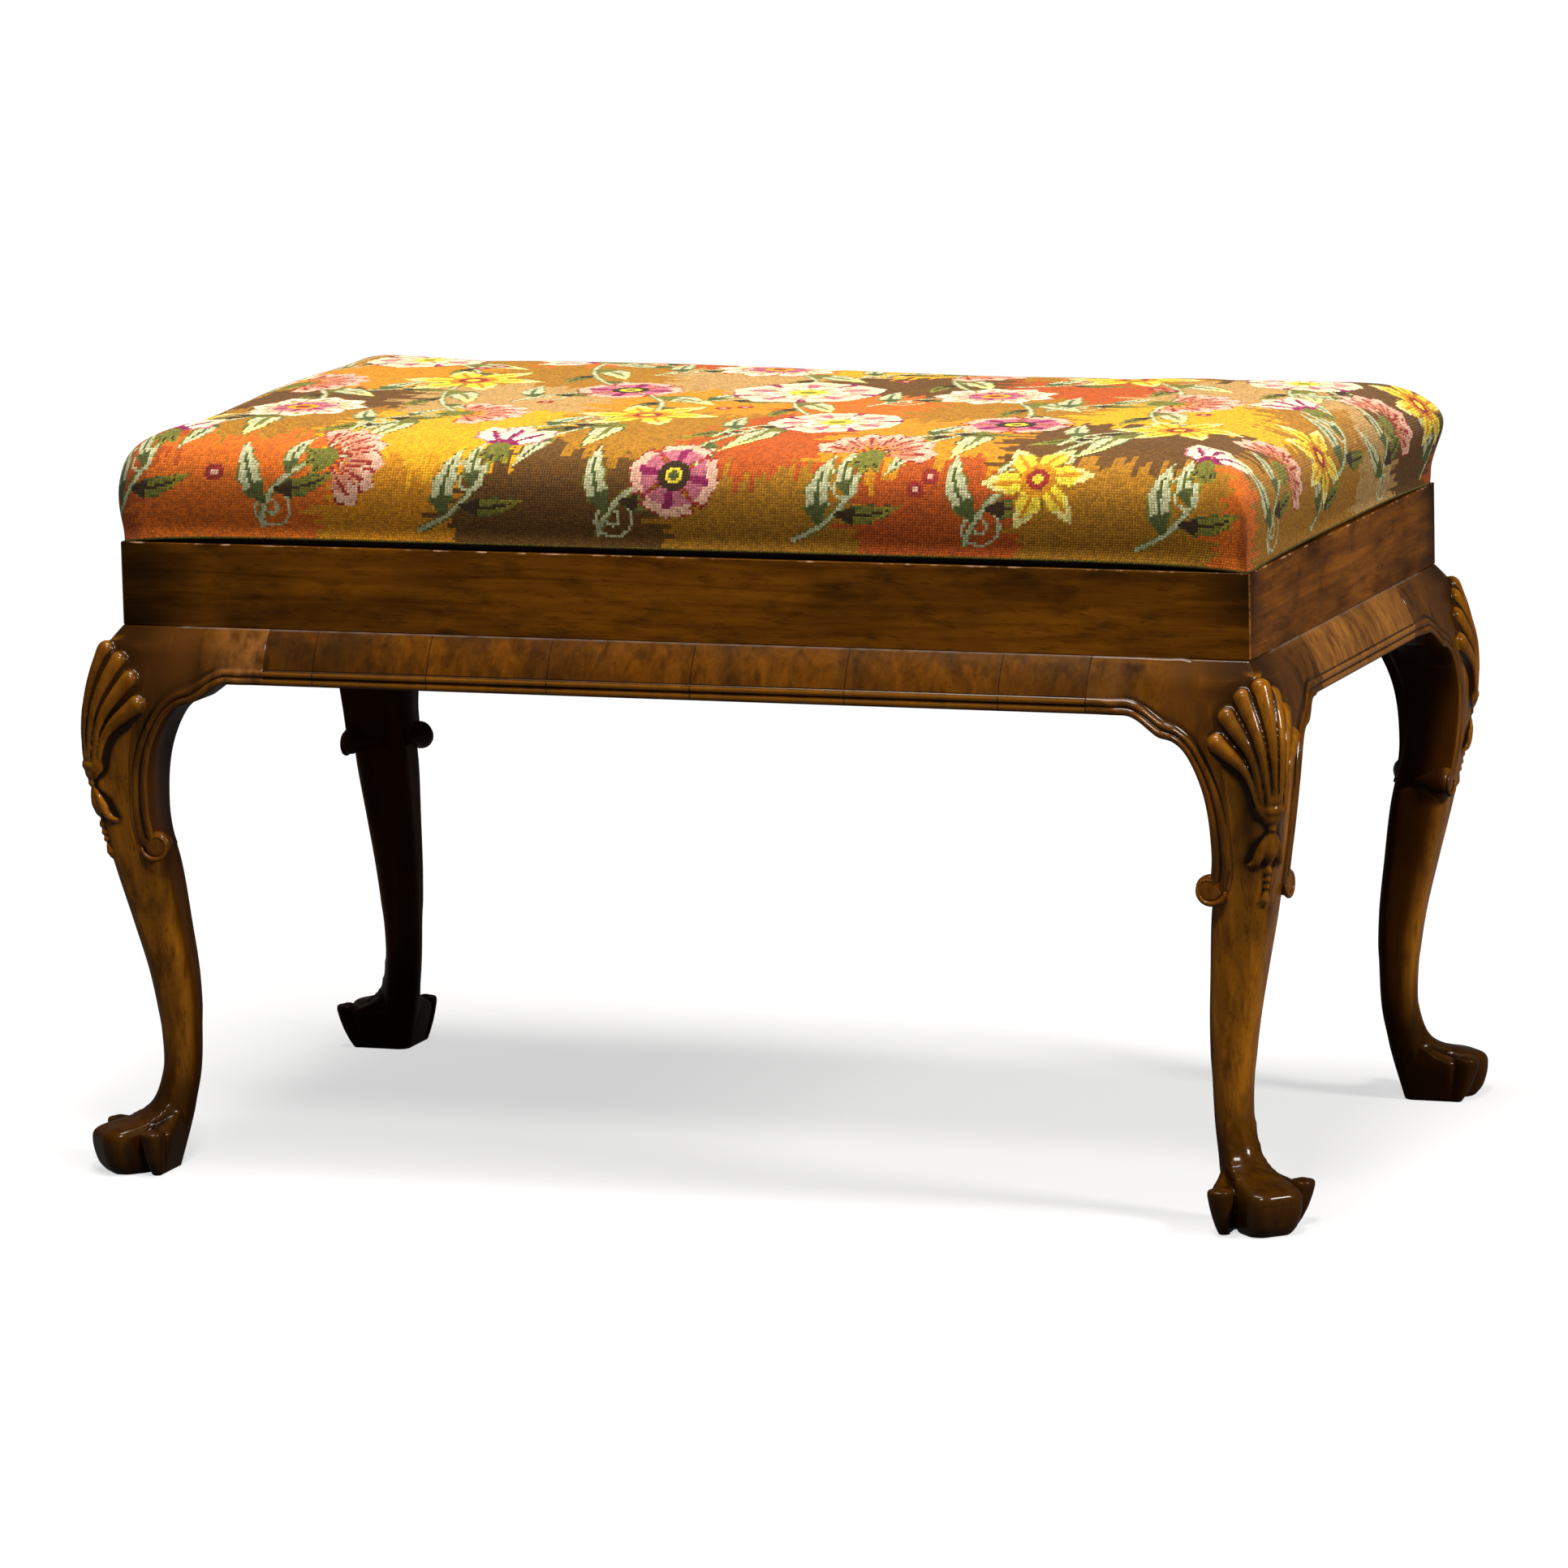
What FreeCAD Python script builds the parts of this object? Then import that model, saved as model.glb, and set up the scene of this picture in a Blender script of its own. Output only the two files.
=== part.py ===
"""Walnut duet stool: a needlework lid hinged over a shallow box, on a moulded frame and four cabriole legs.

Millimetres, +Z up. The origin is on the floor under the middle of the stool, X runs along its length and
the front faces -Y. Distances called "in" run from an outer face of the box towards the middle of the stool.
"""
import FreeCAD, Part
import Sketcher
import math
import os

os.makedirs("parts", exist_ok=True)
doc = FreeCAD.newDocument("duet_stool")
sheet = doc.addObject("Spreadsheet::Sheet", "dims")
Z_UP = FreeCAD.Vector(0, 0, 1)
DOWNWARD = FreeCAD.Vector(0, 0, -1)
ALONG_X = FreeCAD.Vector(1, 0, 0)
ALONG_Y = FreeCAD.Vector(0, 1, 0)


# Sizes

class Size:
    """A size worked out from sheet cells: the expression that gives it, and its value now."""

    def __init__(self, text, value):
        self.text = text
        self.value = value

    def __add__(self, other):
        other = as_size(other)
        return Size(f"({self.text} + {other.text})", self.value + other.value)

    def __sub__(self, other):
        other = as_size(other)
        return Size(f"({self.text} - {other.text})", self.value - other.value)

    def __mul__(self, factor):
        return Size(f"({self.text} * {factor})", self.value * factor)

    def __truediv__(self, divisor):
        return Size(f"({self.text} / {divisor})", self.value / divisor)

    def __neg__(self):
        return Size(f"(0 - {self.text})", -self.value)


def as_size(number):
    """A plain number as a Size, so that the two can be mixed."""
    if isinstance(number, Size):
        return number
    return Size(repr(float(number)), float(number))


row_count = 0


def cell(alias, value):
    """Adds a driving dimension to the sheet and returns it as a Size."""
    global row_count
    row_count += 1
    sheet.set(f"A{row_count}", alias)
    sheet.set(f"B{row_count}", str(value))
    sheet.setAlias(f"B{row_count}", alias)
    return Size(f"dims.{alias}", float(value))


# Box and frame
box_length = cell("box_length", 840)
box_depth = cell("box_depth", 466)
frame_top = cell("frame_top", 397)
box_height = cell("box_height", 60)
board_thick = cell("board_thick", 18)
bottom_thick = cell("bottom_thick", 6)
rail_height = cell("rail_height", 38)
rail_outer = cell("rail_outer", 6)
rail_inner = cell("rail_inner", 40)
post_side = cell("post_side", 46)
post_rise = cell("post_rise", 46)
knee_in = cell("knee_in", 2)
side_toe_in = cell("side_toe_in", 19.5)
tenon_length = cell("tenon_length", 16)
tenon_outer = cell("tenon_outer", 17)
tenon_thick = cell("tenon_thick", 12)
tenon_shoulder = cell("tenon_shoulder", 5)

# Moulding on the rails, and the scrolled brackets that carry it down on to the knees
ovolo_lip = cell("ovolo_lip", 0.5)
ovolo_out = cell("ovolo_out", 15.5)
ovolo_radius = cell("ovolo_radius", 68)
bead_height = cell("bead_height", 5.5)
bead_radius = cell("bead_radius", 3.2)
bracket_length = cell("bracket_length", 114)
bracket_depth = cell("bracket_depth", 17.5)
bracket_reach = cell("bracket_reach", 26)
bracket_tail = cell("bracket_tail", 18)
scroll_start = cell("scroll_start", 82)
volute_in = cell("volute_in", 26)
volute_height = cell("volute_height", 240)
volute_radius = cell("volute_radius", 7.5)
volute_point = cell("volute_point", 1.5)
volute_front = cell("volute_front", 18.5)
volute_depth = cell("volute_depth", 28)

# Lid
lid_gap = cell("lid_gap", 0.3)
lid_inset = cell("lid_inset", 8)
lid_rail_width = cell("lid_rail_width", 60)
lid_rail_thick = cell("lid_rail_thick", 20)
lid_tenon_length = cell("lid_tenon_length", 30)
lid_tenon_inset = cell("lid_tenon_inset", 10)
lid_tenon_thick = cell("lid_tenon_thick", 8)
strap_width = cell("strap_width", 50)
strap_thick = cell("strap_thick", 1.2)
strap_lap = cell("strap_lap", 45)
strap_ramp = cell("strap_ramp", 10)
strap_clearance = cell("strap_clearance", 1)
hessian_thick = cell("hessian_thick", 1)
cover_thick = cell("cover_thick", 2.5)
lining_thick = cell("lining_thick", 1)
lining_inset = cell("lining_inset", 26)
tack_inset = cell("tack_inset", 34)
tack_head = cell("tack_head", 4)
tack_crown = cell("tack_crown", 2.2)
tack_dome = cell("tack_dome", 1.6)
tack_shank = cell("tack_shank", 0.8)
tack_length = cell("tack_length", 9)

# Hinges
hinge_from_end = cell("hinge_from_end", 150)
hinge_length = cell("hinge_length", 64)
leaf_thick = cell("leaf_thick", 1.5)
box_leaf_width = cell("box_leaf_width", 15)
lid_leaf_width = cell("lid_leaf_width", 21)
knuckle_radius = cell("knuckle_radius", 3.5)
knuckle_out = cell("knuckle_out", 4)
knuckle_gap = cell("knuckle_gap", 0.3)
pin_radius = cell("pin_radius", 1.5)
pin_clearance = cell("pin_clearance", 0.04)
screw_head = cell("screw_head", 3.1)
screw_shank = cell("screw_shank", 1.6)
screw_length = cell("screw_length", 13)
screw_pitch = cell("screw_pitch", 22)
recess_overrun = cell("recess_overrun", 1)
pilot_clearance = cell("pilot_clearance", 0.05)

# Stations down a leg: height, reach outside the box face, distance in of the back of the leg, corner radius
LEG_STATIONS = [
    (397, 0.5, 45, 3),
    (384, 10, 45, 5),
    (372, 14.8, 45, 7),
    (345, 22.3, 35, 10),
    (320, 24.4, 26, 11),
    (295, 23.4, 21.5, 11),
    (262, 19.4, 23.5, 12),
    (220, 11.6, 30.5, 12.5),
    (180, 3.1, 34.5, 12),
    (140, -4.8, 38, 11.5),
    (100, -9.4, 38.5, 11),
    (66, -9.6, 37, 11),
    (34, -4, 31, 10),
    (0, 2, 23, 9),
]
# Stations up a toe: height, reach out past the box corner, root behind it, half the width, corner radius
MIDDLE_TOE = [
    (0, 22, 8, 15, 9),
    (10, 27.5, 8, 18.5, 11),
    (24, 31.5, 9, 21.5, 12),
    (29, 30.5, 10, 21, 12),
    (33, 26, 12, 19, 11),
    (38, 15, 16, 15.5, 10),
    (46, 2, 24, 12.5, 8),
    (58, -9, 30, 10.5, 7),
    (76, -17, 34, 9, 6),
]
SIDE_TOE = [
    (0, 24, 16, 4, 3),
    (14, 31, 16, 8, 6),
    (29, 35, 17, 10.5, 8),
    (31, 34, 17, 10, 8),
    (33, 28, 18, 9, 7),
    (40, 12, 20, 8, 6),
    (52, -2, 22, 7, 5),
    (66, -9, 24, 6, 4),
]
# Corners of a bracket's C-scroll: distance in from the box corner, height, radius of the hollow to the next
BRACKET_SCROLL = [(28.5, 240, 131), (24.5, 288, 75), (34, 323, 41), (60, 345.5, 0)]
# Corners of the knee's profile below the ovolo: reach outside the box face, height, radius to the next
KNEE_PROFILE = [(17, 366, 161), (24.4, 312, 430), (13, 232, 0)]
# Stations up the stuffed lid: height, reach outside the box face, corner radius
LID_STATIONS = [
    (463, -1.5, 8),
    (472, 3, 9),
    (486, 6.5, 10),
    (502, 7, 12),
    (514, 4.5, 15),
    (524, -1.5, 18),
    (531, -9.5, 22),
    (535, -20, 26),
    (537, -45, 30),
    (538, -95, 32),
    (538.6, -150, 32),
    (539, -200, 24),
]

half_length = box_length / 2
half_depth = box_depth / 2
box_top = frame_top + box_height
rail_bottom = frame_top - rail_height
lid_bottom = box_top + lid_gap
lid_board_top = lid_bottom + lid_rail_thick
hessian_top = lid_board_top + strap_thick * 2 + hessian_thick
hinge_height = box_top + lid_gap / 2
hinge_back = half_depth + knuckle_out


# Building blocks

def bind(thing, prop, size):
    """Ties a property to its size."""
    thing.setExpression(prop, as_size(size).text)


def place(thing, x, y, z):
    for axis, size in zip("xyz", (x, y, z)):
        bind(thing, f"Placement.Base.{axis}", size)


def block(name, low, high):
    """A box between two opposite corners."""
    solid = doc.addObject("Part::Box", name)
    for prop, start, end in zip(("Length", "Width", "Height"), low, high):
        bind(solid, prop, as_size(end) - start)
    place(solid, *low)
    return solid


def rod(name, radius, length, start, direction=Z_UP):
    """A cylinder from a start point along a direction."""
    solid = doc.addObject("Part::Cylinder", name)
    bind(solid, "Radius", radius)
    bind(solid, "Height", length)
    solid.Placement.Rotation = FreeCAD.Rotation(Z_UP, direction)
    place(solid, *start)
    return solid


def taper(name, start_radius, end_radius, length, start, direction=Z_UP):
    """A cone from a start point along a direction."""
    solid = doc.addObject("Part::Cone", name)
    bind(solid, "Radius1", start_radius)
    bind(solid, "Radius2", end_radius)
    bind(solid, "Height", length)
    solid.Placement.Rotation = FreeCAD.Rotation(Z_UP, direction)
    place(solid, *start)
    return solid


def fuse(name, pieces):
    solid = doc.addObject("Part::MultiFuse", name)
    solid.Shapes = pieces
    return solid


def group(name, pieces):
    bundle = doc.addObject("Part::Compound", name)
    bundle.Links = pieces
    return bundle


def cut(name, base, tool):
    solid = doc.addObject("Part::Cut", name)
    solid.Base = base
    solid.Tool = tool
    return solid


def mirror(name, source, normal, through=(0, 0, 0)):
    """A copy of a piece reflected in the plane through a point, square to the normal."""
    copy = doc.addObject("Part::Mirroring", name)
    copy.Source = source
    copy.Normal = FreeCAD.Vector(*normal)
    for axis, size in zip("xyz", through):
        bind(copy, f"Base.{axis}", size)
    return copy


def sketch_in(body, plane, name, offset, turn=0):
    """A sketch on one of the body's own planes, moved along the plane's normal and turned in it."""
    sketch = body.newObject("Sketcher::SketchObject", name)
    support = [feature for feature in body.Origin.OriginFeatures if feature.Role == plane]
    sketch.AttachmentSupport = [(support[0], "")]
    sketch.MapMode = "FlatFace"
    sketch.AttachmentOffset = FreeCAD.Placement(FreeCAD.Vector(), FreeCAD.Rotation(Z_UP, turn))
    bind(sketch, "AttachmentOffset.Base.z", offset)
    return sketch


def constrain(sketch, kind, places, size):
    """Adds a constraint that follows a size."""
    index = sketch.addConstraint(Sketcher.Constraint(kind, *places, size.value))
    sketch.renameConstraint(index, f"size_{index}")
    bind(sketch, f"Constraints.size_{index}", size)


def arc_between(start, end, radius, turn):
    """The shorter arc from start to end, left-handed for a turn of 1 and right-handed for -1."""
    chord = end - start
    left = FreeCAD.Vector(-chord.y, chord.x, 0).normalize()
    rise = math.sqrt(radius ** 2 - (chord.Length / 2) ** 2)
    centre = (start + end) * 0.5 + left * (rise * turn)
    first, last = (start, end) if turn > 0 else (end, start)
    first_angle = math.atan2(first.y - centre.y, first.x - centre.x)
    last_angle = math.atan2(last.y - centre.y, last.x - centre.x)
    if last_angle < first_angle:
        last_angle += 2 * math.pi
    return Part.ArcOfCircle(Part.Circle(centre, Z_UP, radius), first_angle, last_angle)


def outline(sketch, corners, arcs=None):
    """A closed outline through corners; arcs gives a radius and a turn for the edges that are round."""
    arcs = arcs or {}
    corners = [(as_size(x), as_size(y)) for x, y in corners]
    points = [FreeCAD.Vector(x.value, y.value, 0) for x, y in corners]
    count = len(points)
    starts = []
    ends = []
    for index, start in enumerate(points):
        end = points[(index + 1) % count]
        radius, turn = arcs.get(index, (None, 1))
        if radius is None:
            sketch.addGeometry(Part.LineSegment(start, end))
        else:
            sketch.addGeometry(arc_between(start, end, as_size(radius).value, turn))
        starts.append(1 if turn > 0 else 2)
        ends.append(2 if turn > 0 else 1)
    for index in range(count):
        after = (index + 1) % count
        joint = Sketcher.Constraint("Coincident", index, ends[index], after, starts[after])
        sketch.addConstraint(joint)
    for index, (x, y) in enumerate(corners):
        constrain(sketch, "DistanceX", (-1, 1, index, starts[index]), x)
        constrain(sketch, "DistanceY", (-1, 1, index, starts[index]), y)
    for index, (radius, turn) in arcs.items():
        constrain(sketch, "Radius", (index,), as_size(radius))


def round_rectangle(sketch, low, high, radius):
    """A rectangle between two corners, with the same radius at all four."""
    left, bottom = (as_size(size) for size in low)
    right, top = (as_size(size) for size in high)
    radius = as_size(radius)
    curve = radius.value
    inner_low = FreeCAD.Vector(left.value + curve, bottom.value + curve, 0)
    inner_high = FreeCAD.Vector(right.value - curve, top.value - curve, 0)
    centres = [
        FreeCAD.Vector(inner_high.x, inner_low.y, 0),
        inner_high,
        FreeCAD.Vector(inner_low.x, inner_high.y, 0),
        inner_low,
    ]
    for quarter, centre in enumerate(centres):
        first_angle = (quarter - 1) * math.pi / 2
        outward = FreeCAD.Vector(math.cos(first_angle), math.sin(first_angle), 0) * curve
        previous = centres[quarter - 1]
        sketch.addGeometry(Part.LineSegment(previous + outward, centre + outward))
        circle = Part.Circle(centre, Z_UP, curve)
        sketch.addGeometry(Part.ArcOfCircle(circle, first_angle, first_angle + math.pi / 2))
    for edge in range(8):
        sketch.addConstraint(Sketcher.Constraint("Tangent", edge, 2, (edge + 1) % 8, 1))
    for edge, kind in ((0, "Horizontal"), (2, "Vertical"), (4, "Horizontal"), (6, "Vertical")):
        sketch.addConstraint(Sketcher.Constraint(kind, edge))
    for arc in (3, 5, 7):
        sketch.addConstraint(Sketcher.Constraint("Equal", 1, arc))
    constrain(sketch, "Radius", (1,), radius)
    constrain(sketch, "DistanceX", (-1, 1, 6, 1), left)
    constrain(sketch, "DistanceX", (-1, 1, 2, 1), right)
    constrain(sketch, "DistanceY", (-1, 1, 0, 1), bottom)
    constrain(sketch, "DistanceY", (-1, 1, 4, 1), top)


def new_body(name):
    return doc.addObject("PartDesign::Body", name)


def pad(body, sketch, length):
    feature = body.newObject("PartDesign::Pad", f"{sketch.Name}_pad")
    feature.Profile = sketch
    bind(feature, "Length", length)
    return feature


def loft(body, sketches, ruled=False):
    feature = body.newObject("PartDesign::AdditiveLoft", f"{sketches[0].Name}_loft")
    feature.Profile = sketches[0]
    feature.Sections = sketches[1:]
    feature.Ruled = ruled
    return feature


def body_block(body, kind, name, low, high):
    """A box added to or taken from a body."""
    feature = body.newObject(f"PartDesign::{kind}Box", name)
    for prop, start, end in zip(("Length", "Width", "Height"), low, high):
        bind(feature, prop, as_size(end) - start)
    place(feature, *low)
    return feature


nodes = []


def node(name, piece):
    """Names a finished piece; its solids go to the file of that name."""
    piece.Label = name
    nodes.append(piece)
    return piece


def node_and_mirror(names, piece, normal):
    """Names a piece and its reflection across the middle of the stool."""
    first = node(names[0], piece)
    second = node(names[1], mirror(f"{names[1]}_mirror", piece, normal))
    return first, second


ACROSS = (1, 0, 0)
FRONT_TO_BACK = (0, 1, 0)


# Legs: a cabriole with a square post inside the corner of the box and a foot of three toes

def station_cells(name, stations, columns):
    """Puts a list of stations on the sheet, one cell a value."""
    rows = []
    for index, values in enumerate(stations):
        rows.append([cell(f"{name}_{column}_{index}", value) for column, value in zip(columns, values)])
    return rows


leg_stations = station_cells("leg", LEG_STATIONS, ("level", "out", "back", "corner"))
TOE_COLUMNS = ("level", "reach", "root", "half", "corner")
middle_toe = station_cells("middle_toe", MIDDLE_TOE, TOE_COLUMNS)
side_toe = station_cells("side_toe", SIDE_TOE, TOE_COLUMNS)
lid_stations = station_cells("lid", LID_STATIONS, ("level", "out", "corner"))
scroll_stations = station_cells("scroll", BRACKET_SCROLL, ("back", "level", "radius"))
knee_stations = station_cells("knee", KNEE_PROFILE, ("out", "level", "radius"))


# Headings of the toes, in degrees from the X axis: over the corner, to the front and to the side
CORNER_HEADING = 225
FRONT_HEADING = 270
SIDE_HEADING = 180


def toe(body, name, stations, heading, across):
    """A toe as a loft; across is how far its middle line runs beside the box corner."""
    sketches = []
    for index, (level, reach, root, half, corner) in enumerate(stations):
        sketch = sketch_in(body, "XY_Plane", f"{name}_{index}", level, heading)
        round_rectangle(sketch, (-root, across - half), (reach, across + half), corner)
        sketches.append(sketch)
    loft(body, sketches, ruled=True)


def make_leg():
    """The front left leg, drawn from the box corner with the inward directions positive."""
    body = new_body("front_left_leg_body")
    sketches = []
    for index, (level, out, back, corner) in enumerate(leg_stations):
        sketch = sketch_in(body, "XY_Plane", f"leg_section_{index}", level)
        round_rectangle(sketch, (-out, -out), (back, back), corner)
        sketches.append(sketch)
    loft(body, sketches)
    toe(body, "middle_toe", middle_toe, CORNER_HEADING, as_size(0))
    toe(body, "front_toe", side_toe, FRONT_HEADING, side_toe_in)
    toe(body, "side_toe", side_toe, SIDE_HEADING, -side_toe_in)
    post_corner = (post_side, post_side)
    body_block(body, "Additive", "knee_core", (knee_in, knee_in, rail_bottom), (*post_corner, frame_top))
    post_low = (board_thick, board_thick, frame_top)
    body_block(body, "Additive", "post", post_low, (*post_corner, frame_top + post_rise))
    socket_start = post_side - tenon_length
    tenon_inner = tenon_outer + tenon_thick
    low = rail_bottom + tenon_shoulder
    high = frame_top - tenon_shoulder
    sockets = {
        "front_mortise": [(socket_start, tenon_outer, low), (post_side, tenon_inner, high)],
        "side_mortise": [(tenon_outer, socket_start, low), (tenon_inner, post_side, high)],
    }
    for name, corners in sockets.items():
        body_block(body, "Subtractive", name, *corners)
    place(body, -half_length, -half_depth, 0)
    return body


front_left_leg = make_leg()
front_legs = node_and_mirror(("leg_front_left", "leg_front_right"), front_left_leg, ACROSS)
node("leg_back_left", mirror("leg_back_left_mirror", front_legs[0], FRONT_TO_BACK))
node("leg_back_right", mirror("leg_back_right_mirror", front_legs[1], FRONT_TO_BACK))


# Rails of the frame, tenoned into the legs

def make_rail(name, half_run, half_across, along_x):
    """A rail with a tenon at each end, on the low side of the frame."""
    shoulder = half_run - post_side
    tip = shoulder + tenon_length
    tenon_inner = tenon_outer + tenon_thick
    low = rail_bottom + tenon_shoulder
    high = frame_top - tenon_shoulder
    parts = [
        (-shoulder, shoulder, rail_outer, rail_inner, rail_bottom, frame_top),
        (-tip, -shoulder, tenon_outer, tenon_inner, low, high),
        (shoulder, tip, tenon_outer, tenon_inner, low, high),
    ]
    blocks = []
    for index, (start, end, outer, inner, bottom, top) in enumerate(parts):
        corners = [(start, outer - half_across, bottom), (end, inner - half_across, top)]
        if not along_x:
            corners = [(y, x, z) for x, y, z in corners]
        blocks.append(block(f"{name}_{index}", *corners))
    return fuse(f"{name}_solid", blocks)


front_rail = make_rail("rail_front", half_length, half_depth, True)
left_rail = make_rail("rail_left", half_depth, half_length, False)
node_and_mirror(("rail_front", "rail_back"), front_rail, FRONT_TO_BACK)
node_and_mirror(("rail_left", "rail_right"), left_rail, ACROSS)


# Ovolo moulding with two beads, planted on the rails between the brackets

def moulding_profile(sketch, face):
    """The moulding's section; face is where the outer face of the box stands in the sketch."""
    bead_top = rail_bottom + bead_height * 2
    corners = [
        (face + rail_outer, frame_top),
        (face - ovolo_lip, frame_top),
        (face - ovolo_out, bead_top),
        (face - ovolo_out, bead_top - bead_height),
        (face - ovolo_out, rail_bottom),
        (face + rail_outer, rail_bottom),
    ]
    outline(sketch, corners, {1: (ovolo_radius, 1), 2: (bead_radius, 1), 3: (bead_radius, 1)})


def make_moulding(name, plane, half_across, half_run):
    body = new_body(f"{name}_body")
    start = half_run - bracket_length
    sketch = sketch_in(body, plane, f"{name}_section", -start)
    moulding_profile(sketch, -half_across)
    pad(body, sketch, start * 2)
    return body


front_moulding = make_moulding("moulding_front", "YZ_Plane", half_depth, half_length)
left_moulding = make_moulding("moulding_left", "XZ_Plane", half_length, half_depth)
node_and_mirror(("moulding_front", "moulding_back"), front_moulding, FRONT_TO_BACK)
node_and_mirror(("moulding_left", "moulding_right"), left_moulding, ACROSS)


# Knee brackets: the moulding turns down into a C-scroll that ends in a volute on the leg

def make_bracket():
    """The bracket on the front of the front left leg, drawn from the box corner."""
    front = new_body("bracket_outline_body")
    outline_sketch = sketch_in(front, "XZ_Plane", "bracket_outline", -bracket_depth)
    scroll_corners = [(back, level) for back, level, radius in scroll_stations]
    hollows = {index: (row[2], -1) for index, row in enumerate(scroll_stations[:-1])}
    scroll_corners += [
        (scroll_start, rail_bottom),
        (bracket_length, rail_bottom),
        (bracket_length, frame_top),
        (rail_inner, frame_top),
        (rail_inner, rail_bottom),
        (bracket_tail, knee_stations[1][1]),
        (bracket_tail, volute_height),
    ]
    outline(outline_sketch, scroll_corners, hollows)
    pad(front, outline_sketch, bracket_depth + bracket_reach)

    side = new_body("bracket_profile_body")
    profile_sketch = sketch_in(side, "YZ_Plane", "bracket_profile", 0)
    knee_corners = [(bracket_depth, frame_top), (-ovolo_lip, frame_top)]
    knee_corners += [(-out, level) for out, level, radius in knee_stations]
    knee_corners.append((bracket_depth, knee_stations[-1][1]))
    swells = {1: (ovolo_radius, 1), 2: (knee_stations[0][2], 1), 3: (knee_stations[1][2], 1)}
    outline(profile_sketch, knee_corners, swells)
    pad(side, profile_sketch, bracket_length)

    scroll = doc.addObject("Part::Common", "bracket_scroll")
    scroll.Base = front
    scroll.Tool = side
    start = (volute_in, -volute_front, volute_height)
    volute = taper("bracket_volute", volute_radius, volute_point, volute_depth, start, ALONG_Y)
    blank = fuse("bracket_blank", [scroll, volute])
    place(blank, -half_length, -half_depth, 0)
    leg_and_rail = group("bracket_neighbours", [front_left_leg, front_rail])
    return cut("bracket_cut", blank, leg_and_rail)


left_bracket = make_bracket()
left_bracket_side = mirror("bracket_turned", left_bracket, (1, -1, 0), (-half_length, -half_depth, 0))
for place_name, side_name, piece in (("front", "back", left_bracket), ("side", "side", left_bracket_side)):
    front_names = (f"bracket_front_left_{place_name}", f"bracket_front_right_{place_name}")
    back_names = (f"bracket_back_left_{side_name}", f"bracket_back_right_{side_name}")
    front_pair = node_and_mirror(front_names, piece, ACROSS)
    for back_name, source in zip(back_names, front_pair):
        node(back_name, mirror(f"{back_name}_mirror", source, FRONT_TO_BACK))


# Box of four mitred boards on the frame, with a bottom notched round the posts

def make_board(name, half_run, half_across, along_x):
    body = new_body(f"{name}_body")
    sketch = sketch_in(body, "XY_Plane", f"{name}_plan", frame_top)
    inner_run = half_run - board_thick
    inner_across = half_across - board_thick
    corners = [
        (-half_run, -half_across),
        (half_run, -half_across),
        (inner_run, -inner_across),
        (-inner_run, -inner_across),
    ]
    if not along_x:
        corners = [(y, x) for x, y in reversed(corners)]
    outline(sketch, corners)
    pad(body, sketch, box_height)
    return body


front_board = make_board("board_front", half_length, half_depth, True)
left_board = make_board("board_left", half_depth, half_length, False)
node("box_front", front_board)
back_board_blank = mirror("board_back_blank", front_board, FRONT_TO_BACK)
node_and_mirror(("box_left", "box_right"), left_board, ACROSS)

inner_x = half_length - board_thick
inner_y = half_depth - board_thick
bottom_top = frame_top + bottom_thick
bottom_blank = block("bottom_blank", (-inner_x, -inner_y, frame_top), (inner_x, inner_y, bottom_top))
post_x = half_length - post_side
post_y = half_depth - post_side
notches = []
for low_x, high_x in ((-inner_x, -post_x), (post_x, inner_x)):
    for low_y, high_y in ((-inner_y, -post_y), (post_y, inner_y)):
        notches.append(block("bottom_notch", (low_x, low_y, frame_top), (high_x, high_y, bottom_top)))
node("box_bottom", cut("bottom_cut", bottom_blank, group("bottom_notches", notches)))


# Hinges: two brass butts, each a leaf in the box, a leaf in the lid and a pin

KNUCKLES = 5
SCREW_STEPS = (-1, 0, 1)
# How far across a leaf its screws stand, as a share of the leaf's width from its knuckles
SCREW_ROW = 0.62
hinge_middle = hinge_from_end - half_length
hinge_start = hinge_middle - hinge_length / 2
hinge_end = hinge_middle + hinge_length / 2


def screw_places(width):
    """Where a leaf's screws stand along the hinge and in from the back of the box."""
    across = half_depth - width * SCREW_ROW
    return [(hinge_middle + screw_pitch * step, across) for step in SCREW_STEPS]


def screw_set(name, face, direction, width, clearance):
    """The screws of a leaf, or with a clearance the holes that they go in."""
    sign = 1 if direction.z > 0 else -1
    pieces = []
    for x, y in screw_places(width):
        head = taper(f"{name}_head", screw_head + clearance, screw_shank, leaf_thick, (x, y, face), direction)
        shank_start = (x, y, face + leaf_thick * sign)
        shank = rod(f"{name}_shank", screw_shank + clearance, screw_length, shank_start, direction)
        pieces.append(fuse(f"{name}_screw", [head, shank]))
    return pieces


def make_leaf(name, width, low, high, knuckles, face, direction):
    """A hinge leaf with its share of the knuckles."""
    plate = block(f"{name}_plate", (hinge_start, half_depth - width, low), (hinge_end, half_depth, high))
    pieces = [plate]
    step = hinge_length / KNUCKLES
    for index in knuckles:
        start = hinge_start + step * index + knuckle_gap / 2
        length = step - knuckle_gap
        barrel_start = (start, hinge_back, hinge_height)
        pieces.append(rod(f"{name}_barrel", knuckle_radius, length, barrel_start, ALONG_X))
        web_low = (start, half_depth - knuckle_out, low)
        pieces.append(block(f"{name}_web", web_low, (start + length, hinge_back, high)))
    solid = fuse(f"{name}_solid", pieces)
    bore_start = (hinge_start, hinge_back, hinge_height)
    bore = rod(f"{name}_bore", pin_radius + pin_clearance, hinge_length, bore_start, ALONG_X)
    holes = screw_set(f"{name}_hole", face, direction, width, pilot_clearance)
    return cut(f"{name}_cut", solid, group(f"{name}_holes", [bore] + holes))


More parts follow.
